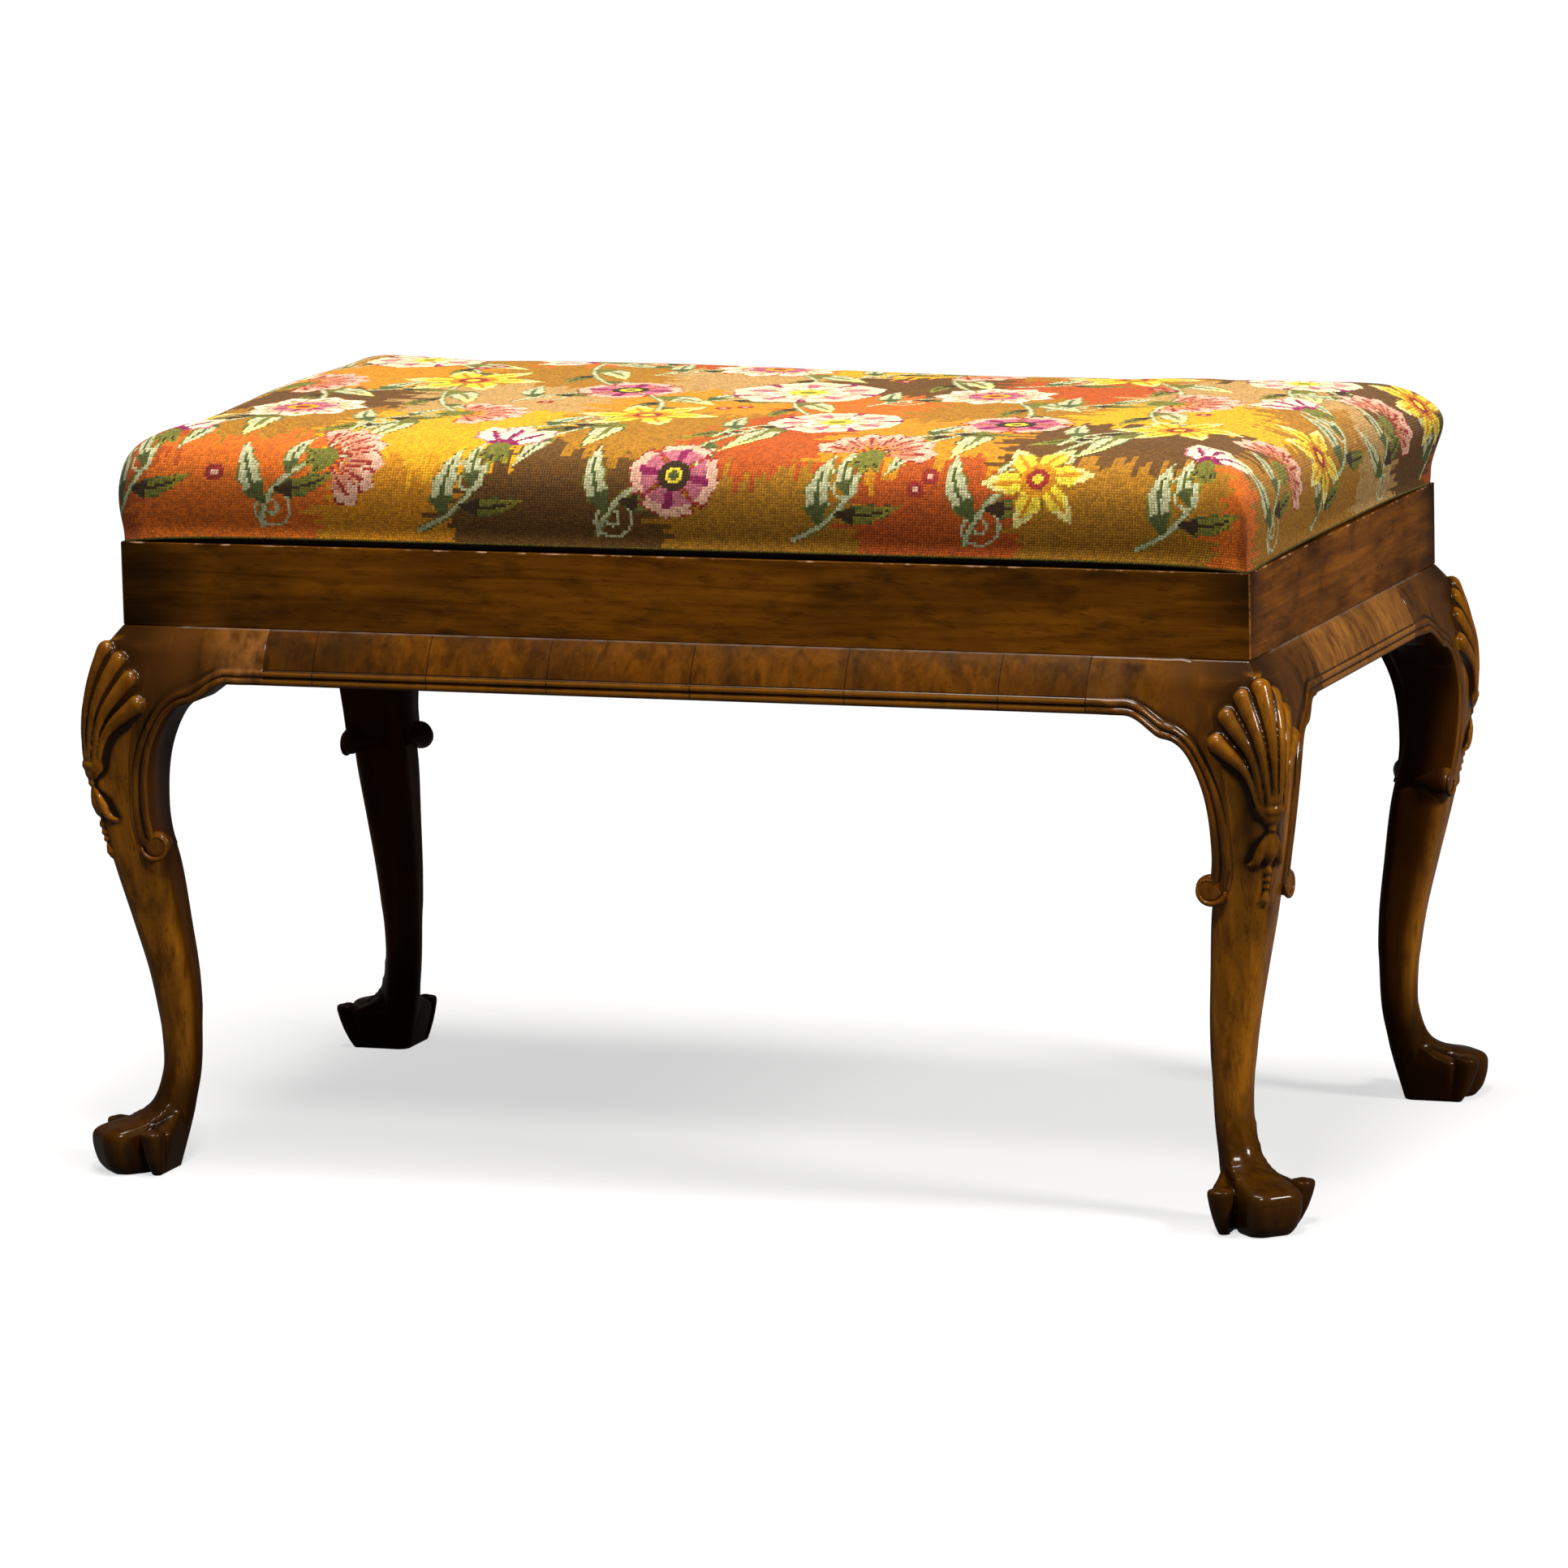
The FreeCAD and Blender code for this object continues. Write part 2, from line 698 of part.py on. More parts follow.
box_leaf_low = box_top - leaf_thick
lid_leaf_high = lid_bottom + leaf_thick
box_leaf = make_leaf("box_leaf", box_leaf_width, box_leaf_low, box_top, (0, 2, 4), box_top, DOWNWARD)
lid_leaf = make_leaf("lid_leaf", lid_leaf_width, lid_bottom, lid_leaf_high, (1, 3), lid_bottom, Z_UP)
hinge_pin = rod("hinge_pin", pin_radius, hinge_length, (hinge_start, hinge_back, hinge_height), ALONG_X)
node_and_mirror(("hinge_left_box_leaf", "hinge_right_box_leaf"), box_leaf, ACROSS)
node_and_mirror(("hinge_left_lid_leaf", "hinge_right_lid_leaf"), lid_leaf, ACROSS)
node_and_mirror(("hinge_left_pin", "hinge_right_pin"), hinge_pin, ACROSS)


def both_ends(name, pieces):
    """A group of pieces at the left hinge together with its reflection at the right one."""
    left = group(f"{name}_left", pieces)
    return group(name, [left, mirror(f"{name}_right", left, ACROSS)])


no_clearance = as_size(0)
box_screws = screw_set("box_screw", box_top, DOWNWARD, box_leaf_width, no_clearance)
lid_screws = screw_set("lid_screw", lid_bottom, Z_UP, lid_leaf_width, no_clearance)
node("hinge_screws_box", both_ends("box_screw_group", box_screws))
node("hinge_screws_lid", both_ends("lid_screw_group", lid_screws))

recess_back = half_depth + recess_overrun
box_recess_low = (hinge_start, half_depth - box_leaf_width, box_leaf_low)
box_recess = block("box_recess", box_recess_low, (hinge_end, recess_back, box_top + recess_overrun))
box_pilots = screw_set("box_pilot", box_top, DOWNWARD, box_leaf_width, pilot_clearance)
box_back_tools = both_ends("box_back_tools", [box_recess] + box_pilots)
node("box_back", cut("box_back_cut", back_board_blank, box_back_tools))


# Lid frame: two long rails with the short rails tenoned between them

lid_half_length = half_length - lid_inset
lid_half_depth = half_depth - lid_inset
lid_inner_length = lid_half_length - lid_rail_width
lid_inner_depth = lid_half_depth - lid_rail_width
lid_tenon_low = lid_bottom + (lid_rail_thick - lid_tenon_thick) / 2


TACK_STEPS_ALONG = 12
TACK_STEPS_ACROSS = 6


def tack_places():
    """Where the lining's tacks stand, round the underside of the lid frame."""
    reach_x = half_length - tack_inset
    reach_y = half_depth - tack_inset
    places = []
    for step in range(TACK_STEPS_ALONG + 1):
        x = reach_x * (2 * step / TACK_STEPS_ALONG - 1)
        places += [(x, -reach_y), (x, reach_y)]
    for step in range(1, TACK_STEPS_ACROSS):
        y = reach_y * (2 * step / TACK_STEPS_ACROSS - 1)
        places += [(-reach_x, y), (reach_x, y)]
    return places


lining_bottom = lid_bottom - lining_thick
tacks = []
tack_holes = []
for tack_x, tack_y in tack_places():
    spot = (tack_x, tack_y, lining_bottom)
    dome = taper("tack_dome_solid", tack_head, tack_crown, tack_dome, spot, DOWNWARD)
    shank = rod("tack_shank_solid", tack_shank, tack_length, spot)
    tacks.append(fuse("tack", [dome, shank]))
    tack_holes.append(rod("tack_hole", tack_shank + pilot_clearance, tack_length, spot))
tack_hole_group = group("tack_hole_group", tack_holes)

side_tenon_x = (-lid_half_length + lid_tenon_inset, -lid_inner_length - lid_tenon_inset)
tenon_reach = lid_inner_depth + lid_tenon_length
left_lid_rail = fuse("lid_left_solid", [
    block("lid_left_rail", (-lid_half_length, -lid_inner_depth, lid_bottom),
          (-lid_inner_length, lid_inner_depth, lid_board_top)),
    block("lid_left_tenons", (side_tenon_x[0], -tenon_reach, lid_tenon_low),
          (side_tenon_x[1], tenon_reach, lid_tenon_low + lid_tenon_thick)),
])
right_lid_rail = mirror("lid_right_solid", left_lid_rail, ACROSS)
front_lid_rail = block("lid_front_rail", (-lid_half_length, -lid_half_depth, lid_bottom),
                       (lid_half_length, -lid_inner_depth, lid_board_top))
back_lid_rail = mirror("lid_back_rail", front_lid_rail, FRONT_TO_BACK)
front_tools = group("lid_front_tools", [left_lid_rail, right_lid_rail] + tack_holes)
lid_recess_low = (hinge_start, half_depth - lid_leaf_width, lid_bottom - recess_overrun)
lid_recess = block("lid_recess", lid_recess_low, (hinge_end, recess_back, lid_leaf_high))
lid_pilots = screw_set("lid_pilot", lid_bottom, Z_UP, lid_leaf_width, pilot_clearance)
lid_hinge_tools = both_ends("lid_hinge_tools", [lid_recess] + lid_pilots)
back_tools = group("lid_back_tools", [front_tools, lid_hinge_tools])
node("lid_rail_front", cut("lid_front_cut", front_lid_rail, front_tools))
node("lid_rail_back", cut("lid_back_cut", back_lid_rail, back_tools))
node("lid_rail_left", cut("lid_left_cut", left_lid_rail, tack_hole_group))
node("lid_rail_right", cut("lid_right_cut", right_lid_rail, tack_hole_group))

lining_low = (lining_inset - half_length, lining_inset - half_depth, lining_bottom)
lining_high = (half_length - lining_inset, half_depth - lining_inset, lid_bottom)
node("lid_lining", cut("lining_cut", block("lining_sheet", lining_low, lining_high), tack_hole_group))
node("lining_tacks", group("tack_group", tacks))


# Webbing woven over the lid frame, hessian on it, stuffing and the needlework cover

LONG_STRAPS = 3
CROSS_STRAPS = 6


def strap_shape(run, crossings, first_over, across_at, along_x):
    """One strap that lies on the frame at its ends and goes over and under the straps that it crosses."""
    width = strap_width.value
    thick = strap_thick.value
    level = lid_board_top.value
    held = width / 2 + strap_clearance.value
    eased = width / 2 + strap_ramp.value
    knots = [(-run, 0), (crossings[0] - eased, 0)]
    for index, crossing in enumerate(crossings):
        lift = thick if (index % 2 == 0) == first_over else 0
        knots += [(crossing - held, lift), (crossing + held, lift)]
    knots += [(crossings[-1] + eased, 0), (run, 0)]
    lower = [(along, level + lift) for along, lift in knots]
    upper = [(along, height + thick) for along, height in reversed(lower)]
    start = across_at - width / 2
    if along_x:
        loop = [FreeCAD.Vector(along, start, height) for along, height in lower + upper]
        sweep = FreeCAD.Vector(0, width, 0)
    else:
        loop = [FreeCAD.Vector(start, along, height) for along, height in lower + upper]
        sweep = FreeCAD.Vector(width, 0, 0)
    return Part.Face(Part.makePolygon(loop + loop[:1])).extrude(sweep)


def spread(count, half_span):
    """Places of a row of straps, evenly spaced over the opening of the lid frame."""
    return [half_span * (2 * (index + 0.5) / count - 1) for index in range(count)]


cross_places = spread(CROSS_STRAPS, lid_inner_length.value)
long_places = spread(LONG_STRAPS, lid_inner_depth.value)
long_run = lid_inner_length.value + strap_lap.value
cross_run = lid_inner_depth.value + strap_lap.value
long_straps = []
for index, spot in enumerate(long_places):
    long_straps.append(strap_shape(long_run, cross_places, index % 2 == 0, spot, True))
cross_straps = []
for index, spot in enumerate(cross_places):
    cross_straps.append(strap_shape(cross_run, long_places, index % 2 == 1, spot, False))
for name, straps in (("webbing_long", long_straps), ("webbing_cross", cross_straps)):
    webbing = doc.addObject("Part::Feature", f"{name}_straps")
    webbing.Shape = Part.makeCompound(straps)
    webbing.Placement = FreeCAD.Placement()
    node(name, webbing)

hessian_low = (-lid_half_length, -lid_half_depth, hessian_top - hessian_thick)
node("lid_hessian", block("hessian_sheet", hessian_low, (lid_half_length, lid_half_depth, hessian_top)))


def make_stuffed(name, skin):
    """The stuffed form of the lid, drawn in at its foot and crowned, as far inside the cover as its skin."""
    body = new_body(f"{name}_body")
    sketches = []
    for index, (level, out, corner) in enumerate(lid_stations):
        height = level + skin if index == 0 else level - skin * (index / (len(lid_stations) - 1))
        reach_x = half_length + out - skin
        reach_y = half_depth + out - skin
        sketch = sketch_in(body, "XY_Plane", f"{name}_section_{index}", height)
        round_rectangle(sketch, (-reach_x, -reach_y), (reach_x, reach_y), corner)
        sketches.append(sketch)
    loft(body, sketches, ruled=True)
    return body


cover_form = make_stuffed("cover", as_size(0))
stuffing_form = make_stuffed("stuffing", cover_thick)
core_low = (-lid_half_length, -lid_half_depth, lid_bottom)
lid_core = block("lid_core", core_low, (lid_half_length, lid_half_depth, hessian_top))
node("lid_stuffing", cut("stuffing_cut", stuffing_form, lid_core))
node("needlework_cover", cut("cover_cut", cover_form, group("cover_inside", [stuffing_form, lid_core])))


# Check every object, then write each piece

doc.recompute()
faults = [thing.Label for thing in doc.Objects if "Invalid" in thing.State or "Error" in thing.State]
if faults:
    raise RuntimeError(f"failed objects: {faults}")
for piece in nodes:
    if piece.Shape.isNull() or not piece.Shape.isValid():
        raise RuntimeError(f"bad shape: {piece.Label}")
    box = piece.Shape.optimalBoundingBox()
    print(f"{piece.Label}: {len(piece.Shape.Solids)} solids, {piece.Shape.Volume / 1000:.1f} cm3,"
          f" x {box.XMin:.1f} {box.XMax:.1f} y {box.YMin:.1f} {box.YMax:.1f} z {box.ZMin:.1f} {box.ZMax:.1f}")
for piece in nodes:
    piece.Shape.exportStep(f"parts/{piece.Label}.step")
print(len(nodes), "pieces written")
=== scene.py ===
"""Looks of the duet stool: carved walnut legs and brackets, a polished box and a needlework cushion.

Metres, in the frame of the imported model. Carved forms are drawn in millimetres from the outer corner of the
box at one leg, with both inward directions positive, and are then set at each corner of the frame.
"""
import math
import bmesh
import bpy
import numpy as np
from mathutils import Matrix, Vector


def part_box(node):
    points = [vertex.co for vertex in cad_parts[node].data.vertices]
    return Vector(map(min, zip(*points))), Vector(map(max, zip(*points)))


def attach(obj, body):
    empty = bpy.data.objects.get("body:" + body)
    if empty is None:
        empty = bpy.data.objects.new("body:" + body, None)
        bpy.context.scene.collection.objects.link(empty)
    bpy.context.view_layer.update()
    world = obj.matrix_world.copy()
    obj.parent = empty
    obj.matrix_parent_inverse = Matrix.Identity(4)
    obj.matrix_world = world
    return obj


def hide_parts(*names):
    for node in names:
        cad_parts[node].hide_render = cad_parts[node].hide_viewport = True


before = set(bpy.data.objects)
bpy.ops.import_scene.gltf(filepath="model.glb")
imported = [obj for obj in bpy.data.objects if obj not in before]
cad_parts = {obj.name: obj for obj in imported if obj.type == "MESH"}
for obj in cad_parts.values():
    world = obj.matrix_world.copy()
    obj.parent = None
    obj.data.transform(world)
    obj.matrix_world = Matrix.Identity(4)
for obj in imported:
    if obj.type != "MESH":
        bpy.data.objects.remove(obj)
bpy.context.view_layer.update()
MM = 0.001
X, Y, Z = range(3)
FAR = 1e9

front_low, front_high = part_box("box_front")
HALF_LENGTH = front_high.x / MM
HALF_DEPTH = -front_low.y / MM
HALVES = (HALF_LENGTH, HALF_DEPTH)
FRAME_TOP = front_low.z / MM
BOX_TOP = front_high.z / MM
RAIL_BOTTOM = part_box("rail_front")[0].z / MM


# Shared helpers

def colour(hex_text):
    """An sRGB hex value as linear red, green, blue and alpha."""
    channels = [int(hex_text[start:start + 2], 16) / 255 for start in (1, 3, 5)]
    linear = [c / 12.92 if c <= 0.04045 else ((c + 0.055) / 1.055) ** 2.4 for c in channels]
    return linear + [1.0]


def fill(tree, node, inputs):
    """Gives each socket of a node, by name or number, a value or the socket that feeds it."""
    for key, value in inputs.items():
        if isinstance(value, bpy.types.NodeSocket):
            tree.links.new(value, node.inputs[key])
        else:
            node.inputs[key].default_value = value


def add(tree, kind, inputs=None, **settings):
    """Adds a node with its settings and its inputs."""
    made = tree.nodes.new(kind)
    for name, value in settings.items():
        setattr(made, name, value)
    fill(tree, made, inputs or {})
    return made


def new_object(name, data):
    piece = bpy.data.objects.new(name, data)
    bpy.context.scene.collection.objects.link(piece)
    return piece


def settle(piece):
    """Applies the modifiers of a piece, so that it is a plain mesh."""
    evaluated = piece.evaluated_get(bpy.context.evaluated_depsgraph_get())
    made = bpy.data.meshes.new_from_object(evaluated)
    piece.modifiers.clear()
    piece.data = made
    return piece


def paint(piece, finish):
    """Gives a piece its finish."""
    piece.data.materials.clear()
    piece.data.materials.append(finish)


def dress(piece, body, finish, slot, *nodes):
    """Gives a new piece its body and its finish, and hides the nodes that it stands for; slot is not used."""
    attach(piece, body)
    paint(piece, finish)
    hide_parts(*nodes)


def read(items, name, width, kind=np.float32):
    """One property of all the points, edges or faces of a mesh, a row for each."""
    values = np.empty(len(items) * width, kind)
    items.foreach_get(name, values)
    return values.reshape(-1, width)


def through(stations, level):
    """The columns of a list of stations at some levels, on smooth curves through the stations."""
    table = np.array(sorted(stations), float)
    knots = table[:, 0]
    slopes = np.gradient(table, knots, axis=0)
    level = np.atleast_1d(np.asarray(level, float))
    index = np.clip(np.searchsorted(knots, level, side="right") - 1, 0, len(knots) - 2)
    span = (knots[index + 1] - knots[index])[:, None]
    t = np.clip((level - knots[index])[:, None] / span, 0, 1)
    start, end = table[index], table[index + 1]
    leave, arrive = slopes[index] * span, slopes[index + 1] * span
    rise = t * t * (3 - 2 * t)
    return start + (end - start) * rise + leave * t * (1 - t) ** 2 - arrive * t * t * (1 - t)


def ease(value, low, high):
    """Rises smoothly from 0 at low to 1 at high."""
    t = np.clip((value - low) / (high - low), 0, 1)
    return t * t * (3 - 2 * t)


def round_turns(sides):
    """Angles evenly round a circle."""
    return np.arange(sides) * 2 * math.pi / sides


# Finishes

class Finish:
    """A material in the making: its nodes, and a base colour that is built up in layers."""

    def __init__(self, name, kind="ShaderNodeTexCoord", output="Object", **settings):
        self.material = bpy.data.materials.new(name)
        self.material.use_nodes = True
        self.tree = self.material.node_tree
        self.shader = self.tree.nodes["Principled BSDF"]
        self.place = self.get(kind, None, output, **settings)
        self.base = None

    def get(self, kind, inputs=None, output=0, **settings):
        """One output of a new node."""
        return add(self.tree, kind, inputs, **settings).outputs[output]

    def parts(self):
        """The coordinates one by one."""
        return add(self.tree, "ShaderNodeSeparateXYZ", {0: self.place}).outputs

    def calc(self, operation, *values):
        return self.get("ShaderNodeMath", dict(enumerate(values)), operation=operation)

    def vector(self, operation, *values, output=0):
        return self.get("ShaderNodeVectorMath", dict(enumerate(values)), output, operation=operation)

    def ramp(self, value, low, high, first=0.0, last=1.0, curve="LINEAR"):
        """Runs from first where a value is low to last where it is high."""
        bounds = dict(enumerate((value, low, high, first, last)))
        return self.get("ShaderNodeMapRange", bounds, interpolation_type=curve)

    def noise(self, place, detail, size=None, roughness=0.5, warp=0.0):
        """Noise over a place; size is that of its patches in millimetres, where the place isn't scaled to them."""
        scale = 1 / (size * MM) if size else 1.0
        return self.get("ShaderNodeTexNoise", {0: place, 2: scale, 3: detail, 4: roughness, 8: warp})

    def grained(self, grain, along, across):
        """Coordinates in units of a pattern's size in millimetres, longer along the grain axis."""
        sizes = [1 / (across * MM)] * 3
        sizes[grain] = 1 / (along * MM)
        return self.vector("MULTIPLY", self.place, sizes)

    def blend(self, share, first, second):
        """Starts the base as a mix of two colours."""
        self.base = colour(first)
        self.tint(share, second)

    def tint(self, share, hex_text):
        """Mixes a colour into the base by a share."""
        inputs = {0: share, 6: self.base, 7: colour(hex_text)}
        self.base = self.get("ShaderNodeMix", inputs, 2, data_type="RGBA")

    def bump(self, height, strength, depth):
        """Normals of a surface raised by a height, its depth in millimetres."""
        return self.get("ShaderNodeBump", {"Height": height, "Strength": strength, "Distance": depth * MM})

    def finished(self, **sockets):
        """The material, with the shader's sockets given by name, underscores for spaces."""
        named = {name.replace("_", " "): value for name, value in sockets.items()}
        fill(self.tree, self.shader, {"Base Color": self.base, **named})
        return self.material


# Layers of old polish, wear and dirt, and of painted light and shade
RUBBED_HIGHLIGHT, HOLLOW_SHADE, INNER_SHADE, LOW_DARK, SEAM = "#7d4a10", "#0e0602", "#2e1403", "#1c0b01", "#140a05"
CORNER, PALE_REFLECTION, CHIPPED, HANDLED, DUST = "#4d2b0b", "#8f5a2a", "#b08560", "#9a621c", "#6e645b"
LOW_DARK_TOP, LOW_DARK_FULL = 135 * MM, 62 * MM
POLISH_TINT = (1.0, 0.72, 0.38, 1.0)
# The darkening of an end is drawn this far along, in millimetres, to make up for the mean of the clouds
CLOUD_SHIFT = 80


def walnut(name, grain, tones, ends=None, lines=(), worn=None, low=False, carved=False, dusty=False,
           coat=0.16, shine=0.16):
    """French-polished old walnut: streaked grain, cloudy colour, black in the hollows as painted shade and dirt,
    rubbed pale on edges as wear with a painted highlight.

    tones are light, mid and dark. ends is an axis and four places along it, between which the wood darkens to
    its low and its high end; lines are rubbed beads with a painted highlight, grooves with painted shade and dirt,
    and joints: axis, place, half width, colour, share; worn is an axis and the distance of the outer face whose top
    edge is chipped. All are in millimetres. A low piece darkens to the floor; a carved one has painted shade on the
    faces turned to the middle of the stool and into the corner of the frame. A dusty one has a grey ledge.
    """
    light, mid, dark = tones
    wood = Finish(name)
    parts = wood.parts()
    streaks = wood.noise(wood.grained(grain, 150, 9), 5, roughness=0.62, warp=0.9)
    clouds = wood.noise(wood.grained(grain, 130, 55), 3)
    # The pores are drawn about twice as wide as real ones, so that they show
    pores = wood.noise(wood.grained(grain, 14, 1.1), 2)
    mottle = wood.noise(wood.grained(grain, 34, 11), 4, roughness=0.6)

    cloudy = wood.ramp(clouds, 0.44, 0.72, 0, 0.85)
    if ends:
        axis, low_stop, low_start, high_start, high_stop = ends
        wander = wood.calc("MULTIPLY_ADD", clouds, 2 * CLOUD_SHIFT * MM, parts[axis])
        for start, stop in ((low_start, low_stop), (high_start, high_stop)):
            fade = wood.ramp(wander, (start + CLOUD_SHIFT) * MM, (stop + CLOUD_SHIFT) * MM, curve="SMOOTHSTEP")
            cloudy = wood.calc("MAXIMUM", cloudy, fade)
    wood.blend(wood.ramp(streaks, 0.32, 0.68), mid, light)
    wood.tint(cloudy, dark)
    wood.tint(wood.ramp(pores, 0.60, 0.72, 0, 0.55), dark)
    wood.tint(wood.ramp(mottle, 0.5, 0.72, 0, 0.6), dark)

    # Carved pieces carry how hollow or proud each point is
    hollow = wood.get("ShaderNodeAttribute", None, "Fac", attribute_name="hollow")
    # Wear with a painted highlight on proud parts; painted shade and dirt in the hollows
    wood.tint(wood.ramp(hollow, -0.25, -0.9, 0, 0.3), RUBBED_HIGHLIGHT)
    wood.tint(wood.ramp(hollow, 0.02, 0.30, 0, 0.97), HOLLOW_SHADE)
    if carved:
        # Painted shade on the faces turned to the middle of the stool
        facing = wood.get("ShaderNodeTexCoord", None, "Normal")
        spread = wood.vector("MULTIPLY", wood.place, (1 / (HALF_LENGTH * MM), 1 / (HALF_DEPTH * MM), 0))
        turned = wood.vector("DOT_PRODUCT", facing, spread, output="Value")
        wood.tint(wood.ramp(turned, 0.3, -0.6, 0, 0.86), INNER_SHADE)
    if low:
        # Darker towards the floor
        sunk = wood.calc("MULTIPLY_ADD", clouds, 0.03, parts[Z])
        wood.tint(wood.ramp(sunk, LOW_DARK_TOP, LOW_DARK_FULL, 0, 0.87, "SMOOTHSTEP"), LOW_DARK)
    for axis, spot, half, tone, share in lines:
        on_line = wood.calc("COMPARE", parts[axis], spot * MM, half * MM)
        wood.tint(wood.calc("MULTIPLY", on_line, share), tone)
    if carved:
        darken_corner(wood, parts, hollow, mottle, dark)

    def chips(*bounds):
        return wood.ramp(wood.noise(wood.place, 5, 11), *bounds)

    def near_edges(share, *edges):
        """A share kept only within a millimetre or so of each edge."""
        for reach, edge in edges:
            near = wood.ramp(reach, (edge - 1.3) * MM, (edge - 0.5) * MM)
            share = wood.calc("MULTIPLY", share, near)
        return share

    if worn:
        axis, face = worn
        outward = [wood.calc("ABSOLUTE", part) for part in parts[:2]]
        wood.tint(near_edges(chips(0.53, 0.66), (parts[Z], BOX_TOP), (outward[axis], face)), CHIPPED)
        wood.tint(near_edges(chips(0.36, 0.56, 0, 0.8), *zip(outward, HALVES)), HANDLED)
    if dusty:
        wood.tint(near_edges(chips(0.3, 0.6, 0.1, 0.5), (parts[Z], FRAME_TOP)), DUST)

    relief = wood.calc("MULTIPLY_ADD", pores, -0.12, wood.noise(wood.place, 3, 16))
    material = wood.finished(
        Roughness=wood.ramp(clouds, 0.3, 0.7, 0.28, 0.42), Normal=wood.bump(relief, 0.5, 0.5),
        Specular_IOR_Level=shine, Specular_Tint=POLISH_TINT, Coat_Weight=coat, Coat_Roughness=0.08)
    if carved:
        fill(wood.tree, wood.shader, {"Coat Weight": wood.ramp(turned, 0.3, -0.4, coat, 0.01)})
    return material


def darken_corner(wood, parts, hollow, mottle, dark):
    """Darkens a carved piece above the knee and into the corner as painted shade, and paints a pale reflection on
    the far ends of the brackets.
    """
    gaps = [wood.calc("SUBTRACT", half * MM, wood.calc("ABSOLUTE", part)) for half, part in zip(HALVES, parts)]
    away = wood.calc("MAXIMUM", *gaps)
    # Painted shade over the upper part of the carved pieces, under the box
    wood.tint(wood.ramp(parts[Z], 280 * MM, 330 * MM, 0, 0.34), dark)
    # The shell is kept out of the painted shade, so it stays brighter than the wood round it
    plain = wood.ramp(hollow, -0.3, -0.06)
    for reach, shell_end, plain_start in ((away, 29, 35), (parts[Z], 387, 391)):
        plain = wood.calc("MAXIMUM", plain, wood.ramp(reach, shell_end * MM, plain_start * MM))
    above = wood.calc("MULTIPLY", wood.ramp(parts[Z], 335 * MM, 375 * MM), plain)
    # A painted reflection, paler on the left end of the stool than on the right
    reflection_share = wood.calc("MULTIPLY", above, wood.ramp(mottle, 0.72, 0.3))
    reflection_share = wood.calc("MULTIPLY", reflection_share, wood.ramp(parts[X], -60 * MM, 60 * MM, 1, 0.3))
    # A flat darker tone and painted shade into the corner of the frame, then the painted reflection
    for near, far, most, tone, where in ((74, 48, 0.85, CORNER, above), (60, 6, 0.8, dark, above),
                                         (58, 104, 0.8, PALE_REFLECTION, reflection_share)):
        share = wood.ramp(away, near * MM, far * MM, 0, most, "SMOOTHSTEP")
        wood.tint(wood.calc("MULTIPLY", share, where), tone)


def plain_wood(name, light, dark, roughness):
    """Planed secondary wood, left unpolished: straight pale grain with a dull surface."""
    wood = Finish(name)
    lines = wood.noise(wood.grained(X, 200, 4), 5, warp=0.5)
    wood.blend(wood.ramp(lines, 0.3, 0.7), dark, light)
    return wood.finished(Normal=wood.bump(lines, 0.25, 0.3), Roughness=roughness)


def old_metal(name, bright, dull, roughness):
    """Rolled metal that has been handled: a worn sheen between duller, darker patches."""
    metal = Finish(name)
    patches = metal.noise(metal.place, 4, 7)
    metal.blend(metal.ramp(patches, 0.38, 0.62), dull, bright)
    return metal.finished(Roughness=metal.ramp(patches, 0, 1, roughness + 0.12, roughness - 0.05), Metallic=1.0)


def woven(name, light, dark, thread):
    """Plain weave: threads that pass over and under each other, one thread width apart."""
    cloth = Finish(name)
    turn = math.pi / (thread * MM)
    waves = [cloth.calc("SINE", cloth.calc("MULTIPLY", part, turn)) for part in cloth.parts()[:2]]
    weave = cloth.calc("MULTIPLY", *waves)
    # Lighter where a thread passes over and darker where it dips under: painted shade of the weave
    tone = cloth.calc("MULTIPLY_ADD", weave, 0.35, cloth.noise(cloth.place, 3, 12))
    cloth.blend(cloth.ramp(tone, 0.15, 0.85), dark, light)
    return cloth.finished(Normal=cloth.bump(weave, 0.5, 0.3 * thread), Roughness=0.9, Sheen_Weight=0.15)


def needlework_wool(name):
    """Wool tent stitch on canvas: one slanting strand for each stitch, dull and slightly hairy."""
    yarn_wool = Finish(name, "ShaderNodeUVMap", 0, uv_map="stitches")
    calc, ramp = yarn_wool.calc, yarn_wool.ramp
    within = [calc("FRACT", part) for part in yarn_wool.parts()[:2]]
    strand = ramp(calc("ABSOLUTE", calc("SUBTRACT", *within)), 0.75, 0.1)
    hair = yarn_wool.get("ShaderNodeTexNoise", {0: yarn_wool.place, 2: 1.7, 3: 3.0})
    # Painted shade in the gaps between strands, times a random speckle of the hair
    shade = calc("MULTIPLY", ramp(strand, 0, 0.7, 0.58, 1.04), ramp(hair, 0.34, 0.66, 0.72, 1.22))
    yarn = yarn_wool.get("ShaderNodeAttribute", None, "Color", attribute_name="yarn")
    yarn_wool.base = yarn_wool.get("ShaderNodeVectorMath", {0: yarn, "Scale": shade}, operation="SCALE")
    height = calc("MULTIPLY_ADD", hair, 0.6, strand)
    return yarn_wool.finished(Normal=yarn_wool.bump(height, 1.0, 0.7), Roughness=0.92, Specular_IOR_Level=0.1,
                              Sheen_Weight=0.06, Sheen_Roughness=0.6)


def joints(axis, *spots):
    """Glued joints across an axis, as lines of a finish."""
    return [(axis, spot, 0.45, SEAM, 0.8) for spot in spots]


